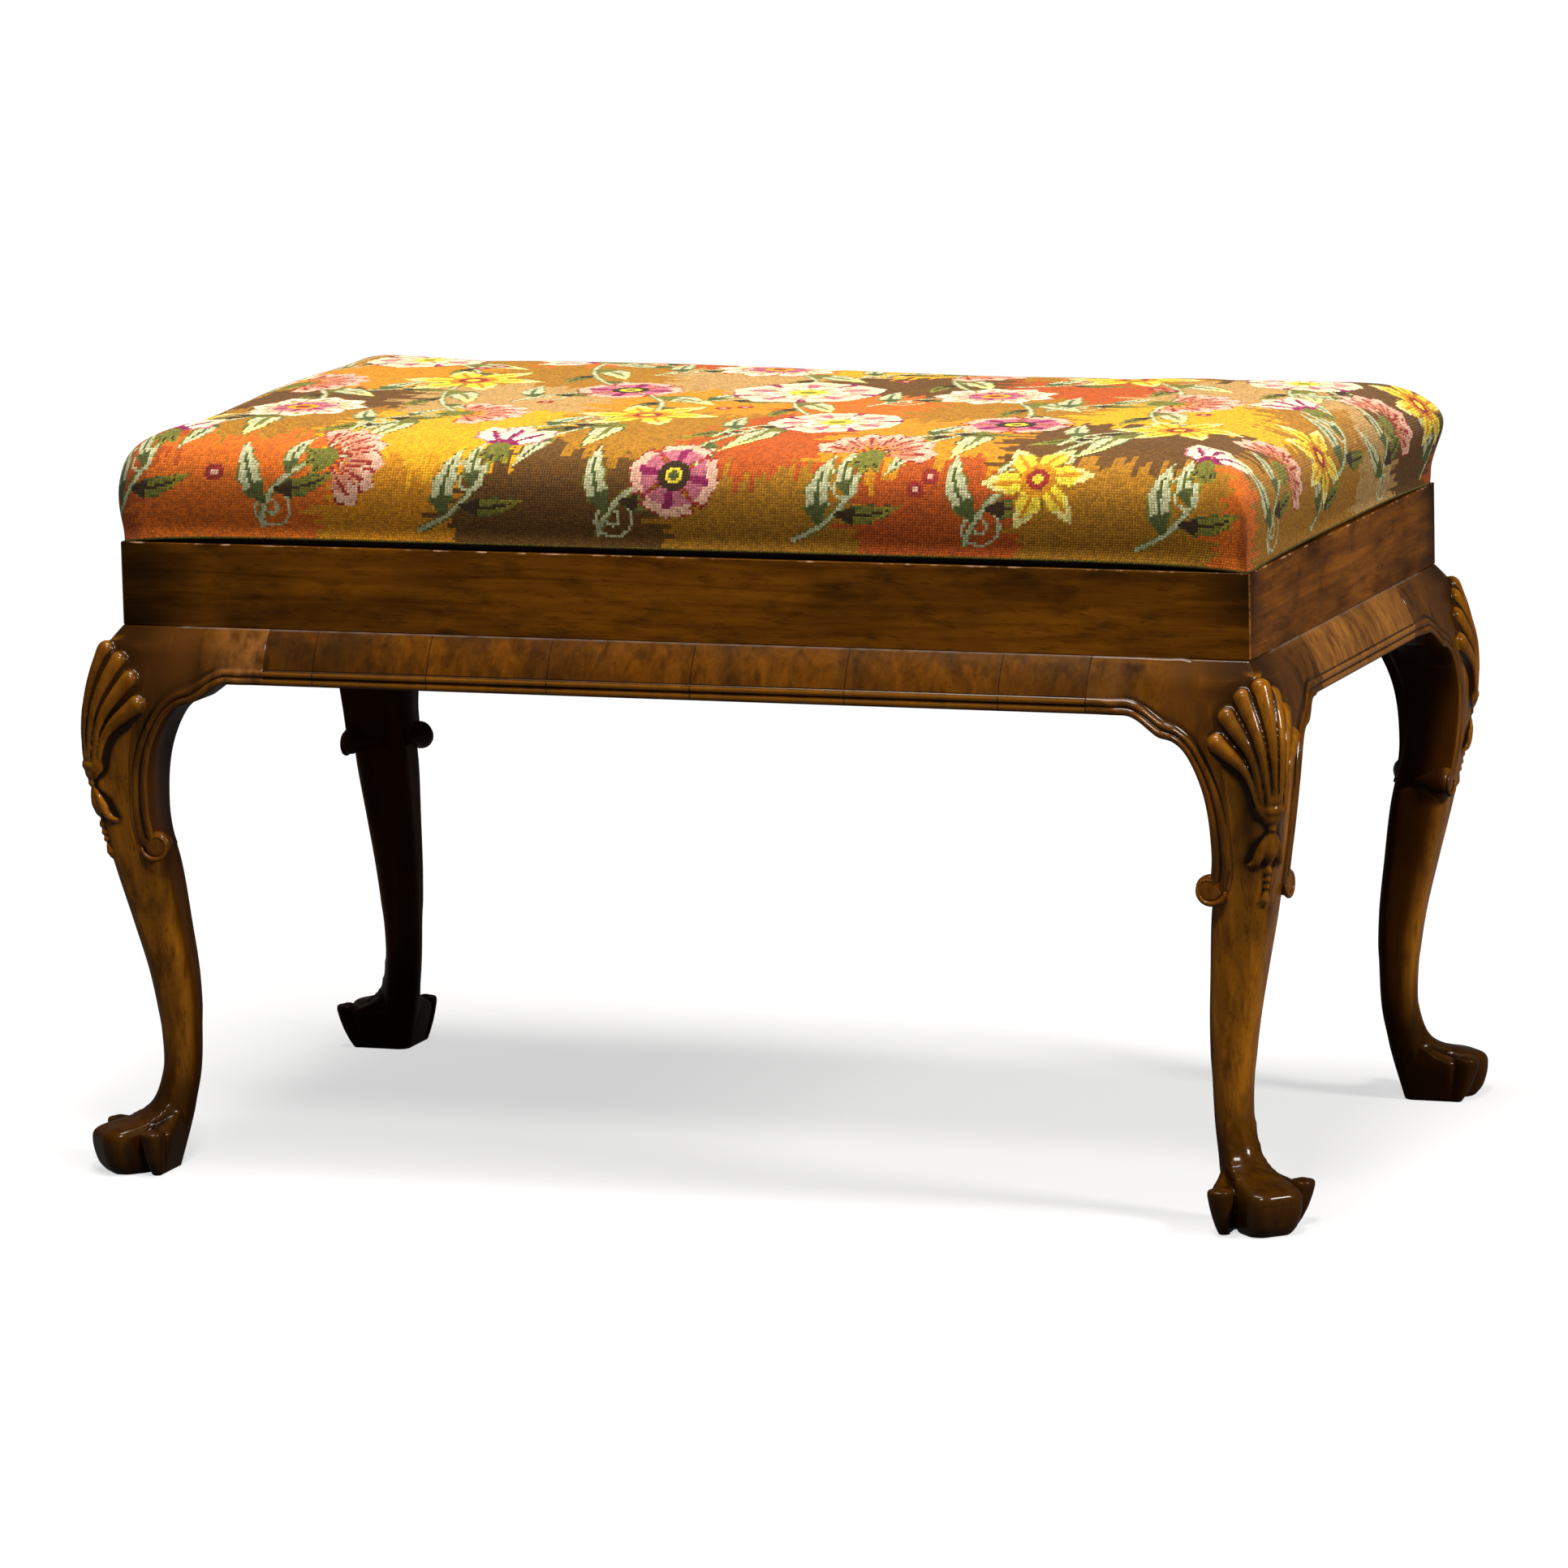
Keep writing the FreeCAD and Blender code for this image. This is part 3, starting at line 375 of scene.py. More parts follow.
# Rubbed beads, lighter with a painted highlight, and the grooves between them dark with painted shade and dirt
BEAD_LIGHT_AND_SHADE = [
    (Z, 367.3, 1.5, "#8f5814", 0.45), (Z, 361.8, 1.5, "#8f5814", 0.45),
    (Z, 364.5, 0.5, "#120703", 0.85), (Z, 370.1, 0.6, "#120703", 0.85),
]
BRACKET_REACH = 113.6
BRACKET_JOINTS = [line for axis, half in enumerate(HALVES)
                  for line in joints(axis, BRACKET_REACH - half, half - BRACKET_REACH)]
leg_walnut = walnut("carved_walnut_leg", Z, ("#a8680e", "#784508", "#160801"),
                    low=True, carved=True, coat=0.26, shine=0.05)
bracket_walnut = walnut("carved_walnut_bracket", Z, ("#7d490a", "#4f2b05", "#140801"),
                        lines=BRACKET_JOINTS, carved=True, dusty=True, coat=0.3, shine=0.05)
# The boards and the long mouldings are darker copies of the legs' walnut, partly as painted shade for the stronger
# light on them
long_board = walnut("walnut_long_board", X, ("#7a470a", "#522b04", "#140801"),
                    ends=(X, -425, -320, 340, 450), worn=(Y, HALF_DEPTH), coat=0.0)
short_board = walnut("walnut_short_board", Y, ("#8a4f0a", "#5e3104", "#1a0a01"),
                     ends=(Y, -250, -195, 160, 250), worn=(X, HALF_LENGTH), coat=0.0, shine=0.06)
long_moulding = walnut("walnut_cross_veneer_long", Z, ("#633706", "#3f2002", "#140801"),
                       lines=BEAD_LIGHT_AND_SHADE + joints(X, -268, -181, -90, 17, 131, 243), dusty=True)
# A lighter copy of the long mouldings' veneer: a painted sheen of the light from the right end
short_moulding = walnut("walnut_cross_veneer_short", Z, ("#966022", "#6c4015", "#241105"),
                        lines=BEAD_LIGHT_AND_SHADE + joints(Y, -58, 47), dusty=True)
rail_beech = plain_wood("stained_beech", "#6b4420", "#3b2310", 0.6)
# The lid rails are stained dark, partly as painted shade for the gap under the cushion
lid_beech = plain_wood("dark_stained_beech_gap_shade", "#3a2412", "#1c1009", 0.65)
bottom_pine = plain_wood("stained_pine", "#94683a", "#6d4822", 0.55)
aged_brass = old_metal("aged_brass", "#b8934a", "#6b5326", 0.35)
blued_steel = old_metal("blued_steel", "#4a4c52", "#26272b", 0.45)
jute = woven("jute_webbing", "#a3824f", "#6d5230", 2.2)
hessian_cloth = woven("hessian", "#94764a", "#5f4827", 1.6)
lining_cotton = woven("black_lining_cotton", "#2e2a26", "#161412", 1.0)
wool = needlework_wool("wool_tent_stitch")


# Carved forms, in millimetres from the box corner

# Height, reach outside the box face, distance in of the back of the leg, corner radius
LEG = [
    (397, 0.5, 45, 3), (384, 10, 45, 5), (372, 14.8, 45, 7), (345, 22.3, 35, 10), (320, 24.4, 26, 11),
    (295, 23.4, 21.5, 11), (262, 19.4, 23.5, 12), (220, 11.6, 30.5, 12.5), (180, 3.1, 34.5, 12.5),
    (140, -4.8, 38, 12.5), (100, -9.4, 38.5, 12), (66, -9.6, 37, 12), (34, -4, 31, 11), (0, 2, 23, 9),
]
# Height, reach past the box corner, root behind it, half width, corner radius
MIDDLE_TOE = [
    (0, 24.5, 8, 16, 10), (5, 29, 8, 18.5, 11.5), (14, 32.6, 8, 20.5, 12.5), (23, 34, 9, 21.3, 13),
    (28, 33.6, 10, 21, 13), (31, 31.5, 11, 20, 13.5), (33, 27, 12, 19.2, 14), (35, 18.5, 13, 18.2, 15),
    (38, 7.5, 16, 16.8, 16), (44, -5.5, 22, 15, 14.6), (52, -12.5, 28, 13.9, 13.5), (64, -17, 31, 13.2, 12.8),
    (76, -20.5, 34, 12.5, 12.1), (86, -23, 35, 11.6, 11.2), (96, -26, 36, 9.6, 9.2),
]
# The instep behind a side toe, in the same columns
SIDE_INSTEP = [
    (0, 15.5, 16, 3.5, 2.5), (10, 17.5, 16.5, 6, 4.5), (22, 19.5, 17, 9, 7), (28, 20, 17, 10, 8),
    (31, 18.5, 18, 10, 8.5), (35, 9, 20, 9.4, 8.2), (41, -0.5, 21, 9, 8), (50, -7, 22, 8.4, 7.6),
    (60, -12, 23, 7.6, 7), (70, -18, 25, 6.4, 5.9),
]
# A side toe is a cone that leans outwards under a flat round top: height, reach of its middle, radius
SIDE_TOE = [
    (0, 17.5, 4), (6, 20, 5.6), (14, 22.6, 7.2), (22, 24.4, 8.4), (28, 25.4, 9.1), (30.5, 25.7, 9.2),
    (32, 25.8, 8.9), (32.8, 25.8, 8.2), (33, 25.8, 5.6), (32, 25.8, 5.3), (31.9, 25.8, 4.3), (33.6, 25.8, 4.1),
    (34.2, 25.8, 3.2), (34.4, 25.8, 1.2),
]
SIDE_TOE_IN = 19.5
SIDE_TOE_SIDES = 28
TOE_STEP = 0.75
LEG_STEP = 3
POST_LOW, POST_HIGH, POST_TOP = 18, 46, 443
ARC_STEPS = 8
LEG_VOXEL = 1.12
LEG_SMOOTHING = 2


def add_rings(bm, rings):
    """Skins a stack of rings and closes both ends."""
    rows = [[bm.verts.new(point) for point in ring] for ring in rings]
    for lower, upper in zip(rows, rows[1:]):
        for index, corner in enumerate(lower):
            after = (index + 1) % len(lower)
            bm.faces.new((corner, lower[after], upper[after], upper[index]))
    bm.faces.new(rows[0][::-1])
    bm.faces.new(rows[-1])


def add_tube(bm, centres, radii, sides=16):
    """Skins a round rod along a line of points, with a radius at each and a dome on each end."""
    centres, radii = np.asarray(centres, float), np.maximum(radii, 0.1)
    headings = np.gradient(centres, axis=0)
    headings /= np.linalg.norm(headings, axis=1)[:, None]
    lean = np.radians((80, 60, 40, 20))
    first = centres[0] - np.outer(np.sin(lean), headings[0]) * radii[0]
    last = centres[-1] + np.outer(np.sin(lean[::-1]), headings[-1]) * radii[-1]
    centres = np.vstack([first, centres, last])
    headings = np.vstack([headings[:1].repeat(4, 0), headings, headings[-1:].repeat(4, 0)])
    radii = np.concatenate([radii[0] * np.cos(lean), radii, radii[-1] * np.cos(lean[::-1])])
    across = np.cross(headings[0], (0.31, 0.52, 0.79))
    turns = round_turns(sides)
    rings = []
    for centre, heading, radius in zip(centres, headings, radii):
        across = across - heading * (across @ heading)
        across = across / np.linalg.norm(across)
        spokes = np.outer(np.cos(turns), across) + np.outer(np.sin(turns), np.cross(heading, across))
        rings.append(centre + radius * spokes)
    add_rings(bm, rings)


def headed(along, aside, level, heading):
    """Points at one level, given along a heading in degrees and beside it."""
    cosine, sine = math.cos(math.radians(heading)), math.sin(math.radians(heading))
    x, y = along * cosine - aside * sine, along * sine + aside * cosine
    return np.stack([x, y, np.full(len(along), level)], axis=1)


def round_ring(low, high, radius, heading, level):
    """Points round a rectangle with rounded corners, turned to a heading in degrees."""
    angles = (np.arange(4)[:, None] - 1 + np.arange(ARC_STEPS + 1) / ARC_STEPS) * math.pi / 2
    x_in, y_in = np.array([[-1], [-1], [1], [1]]), np.array([[1], [-1], [-1], [1]])
    along = np.where(x_in < 0, high[0], low[0]) + radius * (x_in + np.cos(angles))
    aside = np.where(y_in < 0, high[1], low[1]) + radius * (y_in + np.sin(angles))
    return headed(along.ravel(), aside.ravel(), level, heading)


def add_toe(bm, stations, heading, aside):
    """A toe through its stations; aside is how far its middle line runs beside the box corner."""
    rings = []
    for level, reach, root, half, corner in through(stations, np.arange(0, stations[-1][0] + 0.5, TOE_STEP)):
        corner = min(corner, half - 0.2)
        rings.append(round_ring((-root, aside - half), (reach, aside + half), corner, heading, level))
    add_rings(bm, rings)


def add_side_toe(bm, heading, aside):
    """A small cone-shaped toe with an eye carved in its top, and the instep that runs down to it."""
    add_toe(bm, SIDE_INSTEP, heading, aside)
    turns = round_turns(SIDE_TOE_SIDES)
    add_rings(bm, [headed(reach + radius * np.cos(turns), aside + radius * np.sin(turns), level, heading)
                   for level, reach, radius in SIDE_TOE])


def on_knee(across, level):
    """Points on the leg's outer corner, and the way out of it; across runs from the arris, positive on the front."""
    across, level = (np.asarray(value, float) for value in np.broadcast_arrays(across, level))
    columns = through(LEG, level)
    out, corner = columns[:, 1], columns[:, 3]
    angle = math.radians(225) + np.clip(np.abs(across) / corner, 0, math.pi / 4)
    beyond = np.maximum(np.abs(across) - corner * math.pi / 4, 0)
    inward = corner - out + corner * np.cos(angle) + beyond
    facing = corner - out + corner * np.sin(angle)
    points = np.stack([inward, facing, level], axis=1)
    ways = np.stack([np.cos(angle), np.sin(angle), np.zeros_like(level)], axis=1)
    on_side = across < 0
    points[on_side, :2] = points[on_side, 1::-1]
    ways[on_side, :2] = ways[on_side, 1::-1]
    return points, ways


def add_ridge(bm, route, radii, rises, steps=26):
    """A carved ridge on the knee: route holds (across, height) points, radii and rises go from end to end."""
    share = np.linspace(0, 1, steps)
    knots = np.linspace(0, 1, len(route))
    line = through([(knot, *spot) for knot, spot in zip(knots, route)], share)
    radius, rise = (np.interp(share, np.linspace(0, 1, len(row)), row) for row in (radii, rises))
    points, ways = on_knee(line[:, 1], line[:, 2])
    add_tube(bm, points + ways * (rise - radius)[:, None], radius)


# Tips of the shell's lobes on one side of the arris: distance across, height
SHELL_TIPS = [(0, 387), (17.5, 380), (31, 367.5), (41, 350)]
SHELL_ROOT = 300
ROOT_SPACING = 3.3
LOBE_RADIUS = 7.3
LOBE_RADII = [1.5, 2.1, 3.0, 4.3, 5.9, LOBE_RADIUS]
LOBE_RISES = [4.2, 4.4, 4.8, 5.4, 5.9, 6.0]
# Ridges on the arris under the shell: top, bottom, radii, rises, steps
PENDANT = [
    (305, 287, [7.5, 10.4, 11.8, 11.2, 9.2, 6.6, 3.4], [4.8, 5.4, 5.8, 6.2, 6.2, 5.4, 3.4], 26),
    (286.5, 283.5, [2.4, 3.3, 2.4], [2.8, 4.0, 2.8], 26),
    (282, 259, [1.5, 4.4, 6.2, 6.6, 4.6, 1.2], [2.0, 3.8, 4.6, 4.4, 3.2, 1], 26),
]
PENDANT += [(top, bottom, [0.6 * radius, radius, 0.5 * radius], [2.6, 3.5, 2.0], 9) for top, bottom, radius in
            ((256, 252.5, 2.9), (250, 247, 2.6), (244.5, 242, 2.4), (238.5, 230, 3.1))]
# Ridges on both sides of it, the collar of the cup and a petal of the husk: route, radii, rises
PENDANT_SIDES = [
    ([(11, 308), (8.5, 300), (2.5, 289)], [1.2, 3.0, 3.6, 3.0, 1], [1.6, 3.8, 4.8, 4.2, 1.6]),
    ([(1.5, 282), (6.2, 271), (9, 262), (13.2, 259)], [1.0, 3.0, 3.6, 2.8, 1.4], [1.8, 3.8, 4.2, 3.8, 2.6]),
]


def add_shell(bm):
    """Seven convex lobes with round ends that fan out from a cup on the arris."""
    for number, (reach, tip) in enumerate(SHELL_TIPS):
        for side in (1, -1) if number else (1,):
            height = tip - LOBE_RADIUS - SHELL_ROOT
            end = side * max(reach - 0.35 * LOBE_RADIUS, 0)
            middle = side * (0.36 * reach + 1.3 * number)
            route = [(side * ROOT_SPACING * number, SHELL_ROOT), (middle, SHELL_ROOT + 0.56 * height),
                     (end, SHELL_ROOT + height)]
            add_ridge(bm, route, LOBE_RADII, LOBE_RISES)


def add_pendant(bm):
    """The cup under the shell, its knot, a husk of three petals and a chain of drops."""
    for top, bottom, radii, rises, steps in PENDANT:
        add_ridge(bm, [(0, top), (0, bottom)], radii, rises, steps)
    for route, radii, rises in PENDANT_SIDES:
        for side in (1, -1):
            add_ridge(bm, [(side * across, level) for across, level in route], radii, rises)


def blank_mesh(name, bm):
    """A bmesh drawn in millimetres as a mesh in metres."""
    bmesh.ops.scale(bm, vec=(MM, MM, MM), verts=bm.verts)
    bmesh.ops.recalc_face_normals(bm, faces=bm.faces)
    mesh = bpy.data.meshes.new(name)
    bm.to_mesh(mesh)
    bm.free()
    return mesh


class Smoother:
    """The points of a mesh in millimetres, and the mean of each point's neighbours."""

    def __init__(self, mesh):
        self.count = len(mesh.vertices)
        self.places = read(mesh.vertices, "co", 3).astype(float) / MM
        ends = read(mesh.edges, "vertices", 2, np.int32)
        self.starts, self.stops = np.concatenate([ends, ends[:, ::-1]]).T.copy()
        self.degree = np.maximum(np.bincount(self.starts, minlength=self.count), 1)

    def smooth(self, passes, share=0.5):
        """The points after some passes towards their neighbours; share may differ from point to point."""
        places = self.places.copy()
        for _ in range(passes):
            pulled = [np.bincount(self.starts, column[self.stops], self.count) / self.degree for column in places.T]
            places += share * (np.stack(pulled, axis=1) - places)
        return places


def blend_ankle(mesh):
    """Runs the toes into the leg above them without a step."""
    points = Smoother(mesh)
    level = points.places[:, 2]
    share = 0.5 * ease(level, 38, 52) * (1 - ease(level, 100, 118))
    mesh.vertices.foreach_set("co", (points.smooth(80, share[:, None]) * MM).astype(np.float32).ravel())
    mesh.update()


def mark_hollows(mesh, passes, full_depth):
    """Keeps on each point how far it lies below (positive) or above the surface smoothed around it."""
    points = Smoother(mesh)
    normals = read(mesh.vertices, "normal", 3)
    depth = ((points.smooth(passes) - points.places) * normals).sum(axis=1) / full_depth
    layer = mesh.attributes.new("hollow", "FLOAT", "POINT")
    layer.data.foreach_set("value", np.clip(depth, -1, 1).astype(np.float32))


def leg_pattern():
    """One leg: overlapping forms joined into one closed skin, its edges softened as wear does."""
    bm = bmesh.new()
    levels = np.concatenate([np.arange(0, FRAME_TOP, LEG_STEP), [FRAME_TOP]])
    add_rings(bm, [round_ring((-out, -out), (back, back), corner, 0, level)
                   for level, out, back, corner in through(LEG, levels)])
    add_toe(bm, MIDDLE_TOE, 225, 0)
    add_side_toe(bm, 270, SIDE_TOE_IN)
    add_side_toe(bm, 180, -SIDE_TOE_IN)
    for low, bottom, top in ((2, RAIL_BOTTOM, FRAME_TOP), (POST_LOW, FRAME_TOP - 1, POST_TOP)):
        add_rings(bm, [round_ring((low, low), (POST_HIGH, POST_HIGH), 1, 0, level) for level in (bottom, top)])
    add_shell(bm)
    add_pendant(bm)
    blank = new_object("leg_pattern", blank_mesh("leg_blank", bm))
    skin = blank.modifiers.new("skin", "REMESH")
    skin.mode = "VOXEL"
    skin.voxel_size = LEG_VOXEL * MM
    soften = blank.modifiers.new("soften", "SMOOTH")
    soften.factor = 0.5
    soften.iterations = LEG_SMOOTHING
    carved = settle(blank).data
    bpy.data.objects.remove(blank)
    carved.shade_smooth()
    blend_ankle(carved)
    mark_hollows(carved, 60, 1.2)
    return carved


# Stations along a bracket's scrolled edge: the edge, the outer side of its beads, and the far side of the wood
SCROLL = [
    (114, 359, 114, 370, 114, 397), (98, 359, 98, 370, 98, 397), (84, 359.2, 83, 370, 84, 397),
    (75.5, 356, 72.5, 366, 72, 397), (67, 350, 64, 360.5, 59, 397), (60, 345.5, 57.5, 356.5, 46, 397),
    (50, 342.8, 46.5, 352, 31, 393), (41.5, 336, 35.5, 343.5, 18, 380), (34, 323.5, 25.5, 328.5, 12, 352),
    (28, 307, 17.5, 310, 10, 326), (24.8, 288, 12.8, 289, 8, 298), (24, 266, 11, 266, 7, 268),
    (25.2, 252, 12, 249.5, 8, 248), (27, 243, 15.5, 239.5, 12, 237), (29, 237, 21, 235, 19, 233),
]
SCROLL_STEPS = 190
BEADS = 2
BEAD_RADIUS = 3.2
BEAD_WIDTH = 5.5
MOULDING_GROUND = 15.5
# Depth of a bracket's back behind the box face, at the rail and below it
BACK_AT_RAIL, BACK_BELOW = 5.8, 16.5
# Middle of the volute, then its core from the eye inwards: depths from the face of the knee, the rest from the
# face of the box, and a radius for each
VOLUTE_X, VOLUTE_Z = 27, 240.5
CORE_FACE = [-2.7, -2.69, -2.64, -2.54, -2.36, -1.4, 0.8, 4]
CORE_ROOT = [-8, -2, 4, 9]
CORE_RADII = [0.1, 0.5, 2.0, 4.0, 6.0, 8.8, 10.2, 10.0, 8.4, 6.2, 3.8, 1.0]
SPIRAL_STEPS = 60
SPIRAL_START, SPIRAL_TURN = 190, 330


def bracket_ground(inward, level):
    """Reach of a bracket's face outside the box, level with the moulding at one end and the knee at the other."""
    knee = through(LEG, level)[:, 1]
    ceiling = MOULDING_GROUND + 10 * ease(108 - inward, 0, 50)
    return np.minimum(knee, ceiling)


def bead_profile(share):
    """Rise of the two beads at a share of the way across them, in units of a bead of the moulding."""
    within = (np.clip(share, 0, 1) * BEADS) % 1.0 - 0.5
    foot = math.sqrt(BEAD_RADIUS ** 2 - (BEAD_WIDTH / 2) ** 2)
    arc = np.sqrt(BEAD_RADIUS ** 2 - (within * BEAD_WIDTH) ** 2) - foot
    return np.where((share > 0) & (share < 1), arc, 0)


def add_volute(bm):
    """The round end of a bracket's scroll: a domed core with a spiral on it."""
    reach = through(LEG, VOLUTE_Z)[0, 1]
    depths = np.concatenate([np.array(CORE_FACE) - reach, CORE_ROOT])
    centres = np.stack([np.full(len(depths), VOLUTE_X), depths, np.full(len(depths), VOLUTE_Z)], axis=1)
    add_tube(bm, centres, CORE_RADII, 28)
    turn = np.radians(np.linspace(SPIRAL_START, SPIRAL_START + SPIRAL_TURN, SPIRAL_STEPS))
    share = np.linspace(0, 1, SPIRAL_STEPS)
    radius = np.interp(share, [0, 0.45, 1], [11.5, 8.4, 5.0])
    depth = np.full(SPIRAL_STEPS, -reach - 1.8)
    spiral = np.stack([VOLUTE_X + radius * np.cos(turn), depth, VOLUTE_Z + radius * np.sin(turn)], axis=1)
    add_tube(bm, spiral, np.interp(share, [0, 0.1, 0.5, 1], [1.4, 2.0, 1.5, 0.6]), 12)


def bracket_pattern():
    bm = bmesh.new()
    stations = [(number, *row) for number, row in enumerate(SCROLL)]
    across_beads = np.linspace(0, 1, 33)
    across_face = np.linspace(0, 1, 22)[1:]
    no_beads, no_face = np.zeros(len(across_beads)), np.zeros(len(across_face))
    rings = []
    for columns in through(stations, np.linspace(0, len(SCROLL) - 1, SCROLL_STEPS))[:, 1:]:
        edge, bead_side, far = columns[0:2], columns[2:4], columns[4:6]
        banded = edge + np.outer(across_beads, bead_side - edge)
        faced = bead_side + np.outer(across_face, far - bead_side)
        inward, level = np.vstack([banded, faced]).T
        scale = np.linalg.norm(bead_side - edge) / (BEADS * BEAD_WIDTH)
        sinking = 0.9 * ease(across_face, 0.55, 1.0) * (1 - ease(faced[:, 0], 34, 44))
        sunk = np.concatenate([no_beads, sinking])
        quirk = np.concatenate([no_beads, 0.5 * (1 - ease(across_face, 0.0, 0.16))])
        raised = np.concatenate([bead_profile(across_beads) * (0.6 + 0.55 * scale), no_face])
        # The moulding's beads spring from below the ovolo, those of the scroll from the face of the knee
        out = bracket_ground(inward, level) + raised - sunk - quirk * ease(100 - inward, 0, 30)
        behind = BACK_AT_RAIL if edge[1] > RAIL_BOTTOM - 4 else BACK_BELOW
        far_behind = BACK_AT_RAIL if far[1] > RAIL_BOTTOM else behind
        face = np.stack([inward, -out, level], axis=1)
        rings.append(np.vstack([face, [(far[0], far_behind, far[1]), (edge[0], behind, edge[1])]]))
    add_rings(bm, rings)
    add_volute(bm)
    mesh = blank_mesh("bracket_pattern", bm)
    mesh.shade_smooth()
    mark_hollows(mesh, 18, 1.1)
    return mesh


def set_at_corner(name, pattern, x_side, y_side, swapped=False):
    """A copy of a carved pattern at one corner of the frame; swapped lays it along the end instead of the length."""
    mesh = pattern.copy()
    turn = Matrix(((0, 1, 0, 0), (1, 0, 0, 0), (0, 0, 1, 0), (0, 0, 0, 1))) if swapped else Matrix.Identity(4)
    place = Matrix.Translation((x_side * HALF_LENGTH * MM, y_side * HALF_DEPTH * MM, 0))
    mesh.transform(place @ Matrix.Diagonal((-x_side, -y_side, 1, 1)) @ turn)
    if (x_side * y_side < 0) != swapped:
        mesh.flip_normals()
    return new_object(name, mesh)


def carved_frame():
    """The four legs and their eight brackets."""
    leg = leg_pattern()
    bracket = bracket_pattern()
    for y_name, y_side in (("front", -1), ("back", 1)):
        for x_name, x_side in (("left", -1), ("right", 1)):
            corner = f"{y_name}_{x_name}"
            piece = set_at_corner(f"carved_leg_{corner}", leg, x_side, y_side)
            dress(piece, "stool", leg_walnut, "walnut", f"leg_{corner}")
            for side in (y_name, "side"):
                piece = set_at_corner(f"carved_bracket_{corner}_{side}", bracket, x_side, y_side, side == "side")
                dress(piece, "stool", bracket_walnut, "walnut", f"bracket_{corner}_{side}")


carved_frame()


# Box, mouldings and hardware

EASED_RADIUS = 0.8


def eased(node, finish):
    """A copy of a board of the box with its sharp edges taken off, as a plane leaves them."""
    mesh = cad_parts[node].data.copy()
    bm = bmesh.new()
    bm.from_mesh(mesh)
    bmesh.ops.remove_doubles(bm, verts=bm.verts, dist=0.01 * MM)
    bmesh.ops.dissolve_limit(bm, angle_limit=math.radians(1), verts=bm.verts, edges=bm.edges)
    bm.to_mesh(mesh)
    bm.free()
    piece = new_object(f"{node}_eased", mesh)
    bevel = piece.modifiers.new("eased", "BEVEL")
    bevel.width = EASED_RADIUS * MM
    bevel.segments = 2
    bevel.limit_method = "ANGLE"
    bevel.harden_normals = True
    dress(settle(piece), "stool", finish, "walnut", node)


for side, board in (("front", long_board), ("back", long_board), ("left", short_board), ("right", short_board)):
    eased(f"box_{side}", board)


def finish_nodes(finish, slot, *names):
    """Gives nodes that keep their own shape a finish."""
    for name in names:
        paint(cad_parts[name], finish)


SIDES = ("front", "back", "left", "right")
finish_nodes(long_moulding, "walnut", "moulding_front", "moulding_back")
finish_nodes(short_moulding, "walnut", "moulding_left", "moulding_right")
finish_nodes(rail_beech, "beech", *(f"rail_{side}" for side in SIDES))
finish_nodes(lid_beech, "beech", *(f"lid_rail_{side}" for side in SIDES))
finish_nodes(bottom_pine, "pine", "box_bottom")
for end in ("left", "right"):
    finish_nodes(aged_brass, "brass", f"hinge_{end}_box_leaf", f"hinge_{end}_lid_leaf", f"hinge_{end}_pin")


# Screws and tacks, set by one node tree

# Profiles of the heads from the point up: radius, height
SCREW = [(0.4, -14.5), (1.6, -12), (1.6, -1.5), (3.0, -0.1), (3.05, 0), (2.6, 0), (1.9, 0), (1.3, 0), (0.7, 0),
         (0.3, 0)]
TACK = [(0.2, 9), (0.8, 7.5), (0.8, 0), (4, 0), (3.9, -0.35), (3.3, -0.95), (2.3, -1.35), (1.1, -1.55), (0.3, -1.6)]
HEAD_SIDES = 20
SCREW_PITCH = 22
TACK_RADIUS = 4
TACKS_ALONG, TACKS_ACROSS = 12, 6


def scatter_tree():
    """Sets a pattern on every point, turned about the upright by a seeded amount."""
    tree = bpy.data.node_groups.new("set_fasteners", "GeometryNodeTree")
    kinds = {"Places": "Geometry", "Pattern": "Object", "Finish": "Material", "Seed": "Int"}
    for label, kind in kinds.items():
        tree.interface.new_socket(label, in_out="INPUT", socket_type=f"NodeSocket{kind}")
    tree.interface.new_socket("Fasteners", in_out="OUTPUT", socket_type="NodeSocketGeometry")
    given = add(tree, "NodeGroupInput").outputs
    turn = add(tree, "FunctionNodeRandomValue", {3: math.pi, "Seed": given["Seed"]}, data_type="FLOAT")
    spin = add(tree, "ShaderNodeCombineXYZ", {"Z": turn.outputs[1]}).outputs[0]
    shape = add(tree, "GeometryNodeObjectInfo", {"Object": given["Pattern"]}).outputs["Geometry"]
    inputs = {"Points": given["Places"], "Instance": shape, "Rotation": spin}
    copies = add(tree, "GeometryNodeInstanceOnPoints", inputs).outputs[0]
    real = add(tree, "GeometryNodeRealizeInstances", {"Geometry": copies}).outputs[0]
    finished = add(tree, "GeometryNodeSetMaterial", {"Geometry": real, "Material": given["Finish"]}).outputs[0]
    add(tree, "NodeGroupOutput", {0: finished})
    return tree


def scatter(tree, name, profile, places, finish, seed):
    """A piece made of copies of a turned head at places in millimetres."""
    bm = bmesh.new()
    turns = round_turns(HEAD_SIDES)
    add_rings(bm, [[(r * math.cos(t), r * math.sin(t), z) for t in turns] for r, z in profile])
    pattern = new_object(f"{name}_pattern", blank_mesh(f"{name}_pattern", bm))
    mesh = bpy.data.meshes.new(name)
    mesh.from_pydata([Vector(place) * MM for place in places], [], [])
    piece = new_object(name, mesh)
    setter = piece.modifiers.new("set", "NODES")
    setter.node_group = tree
    values = {"Pattern": pattern, "Finish": finish, "Seed": seed}
    for socket in tree.interface.items_tree:
        if socket.name in values:
            setter[socket.identifier] = values[socket.name]
    bpy.context.view_layer.update()
    settle(piece)
    bpy.data.objects.remove(pattern)
    return piece


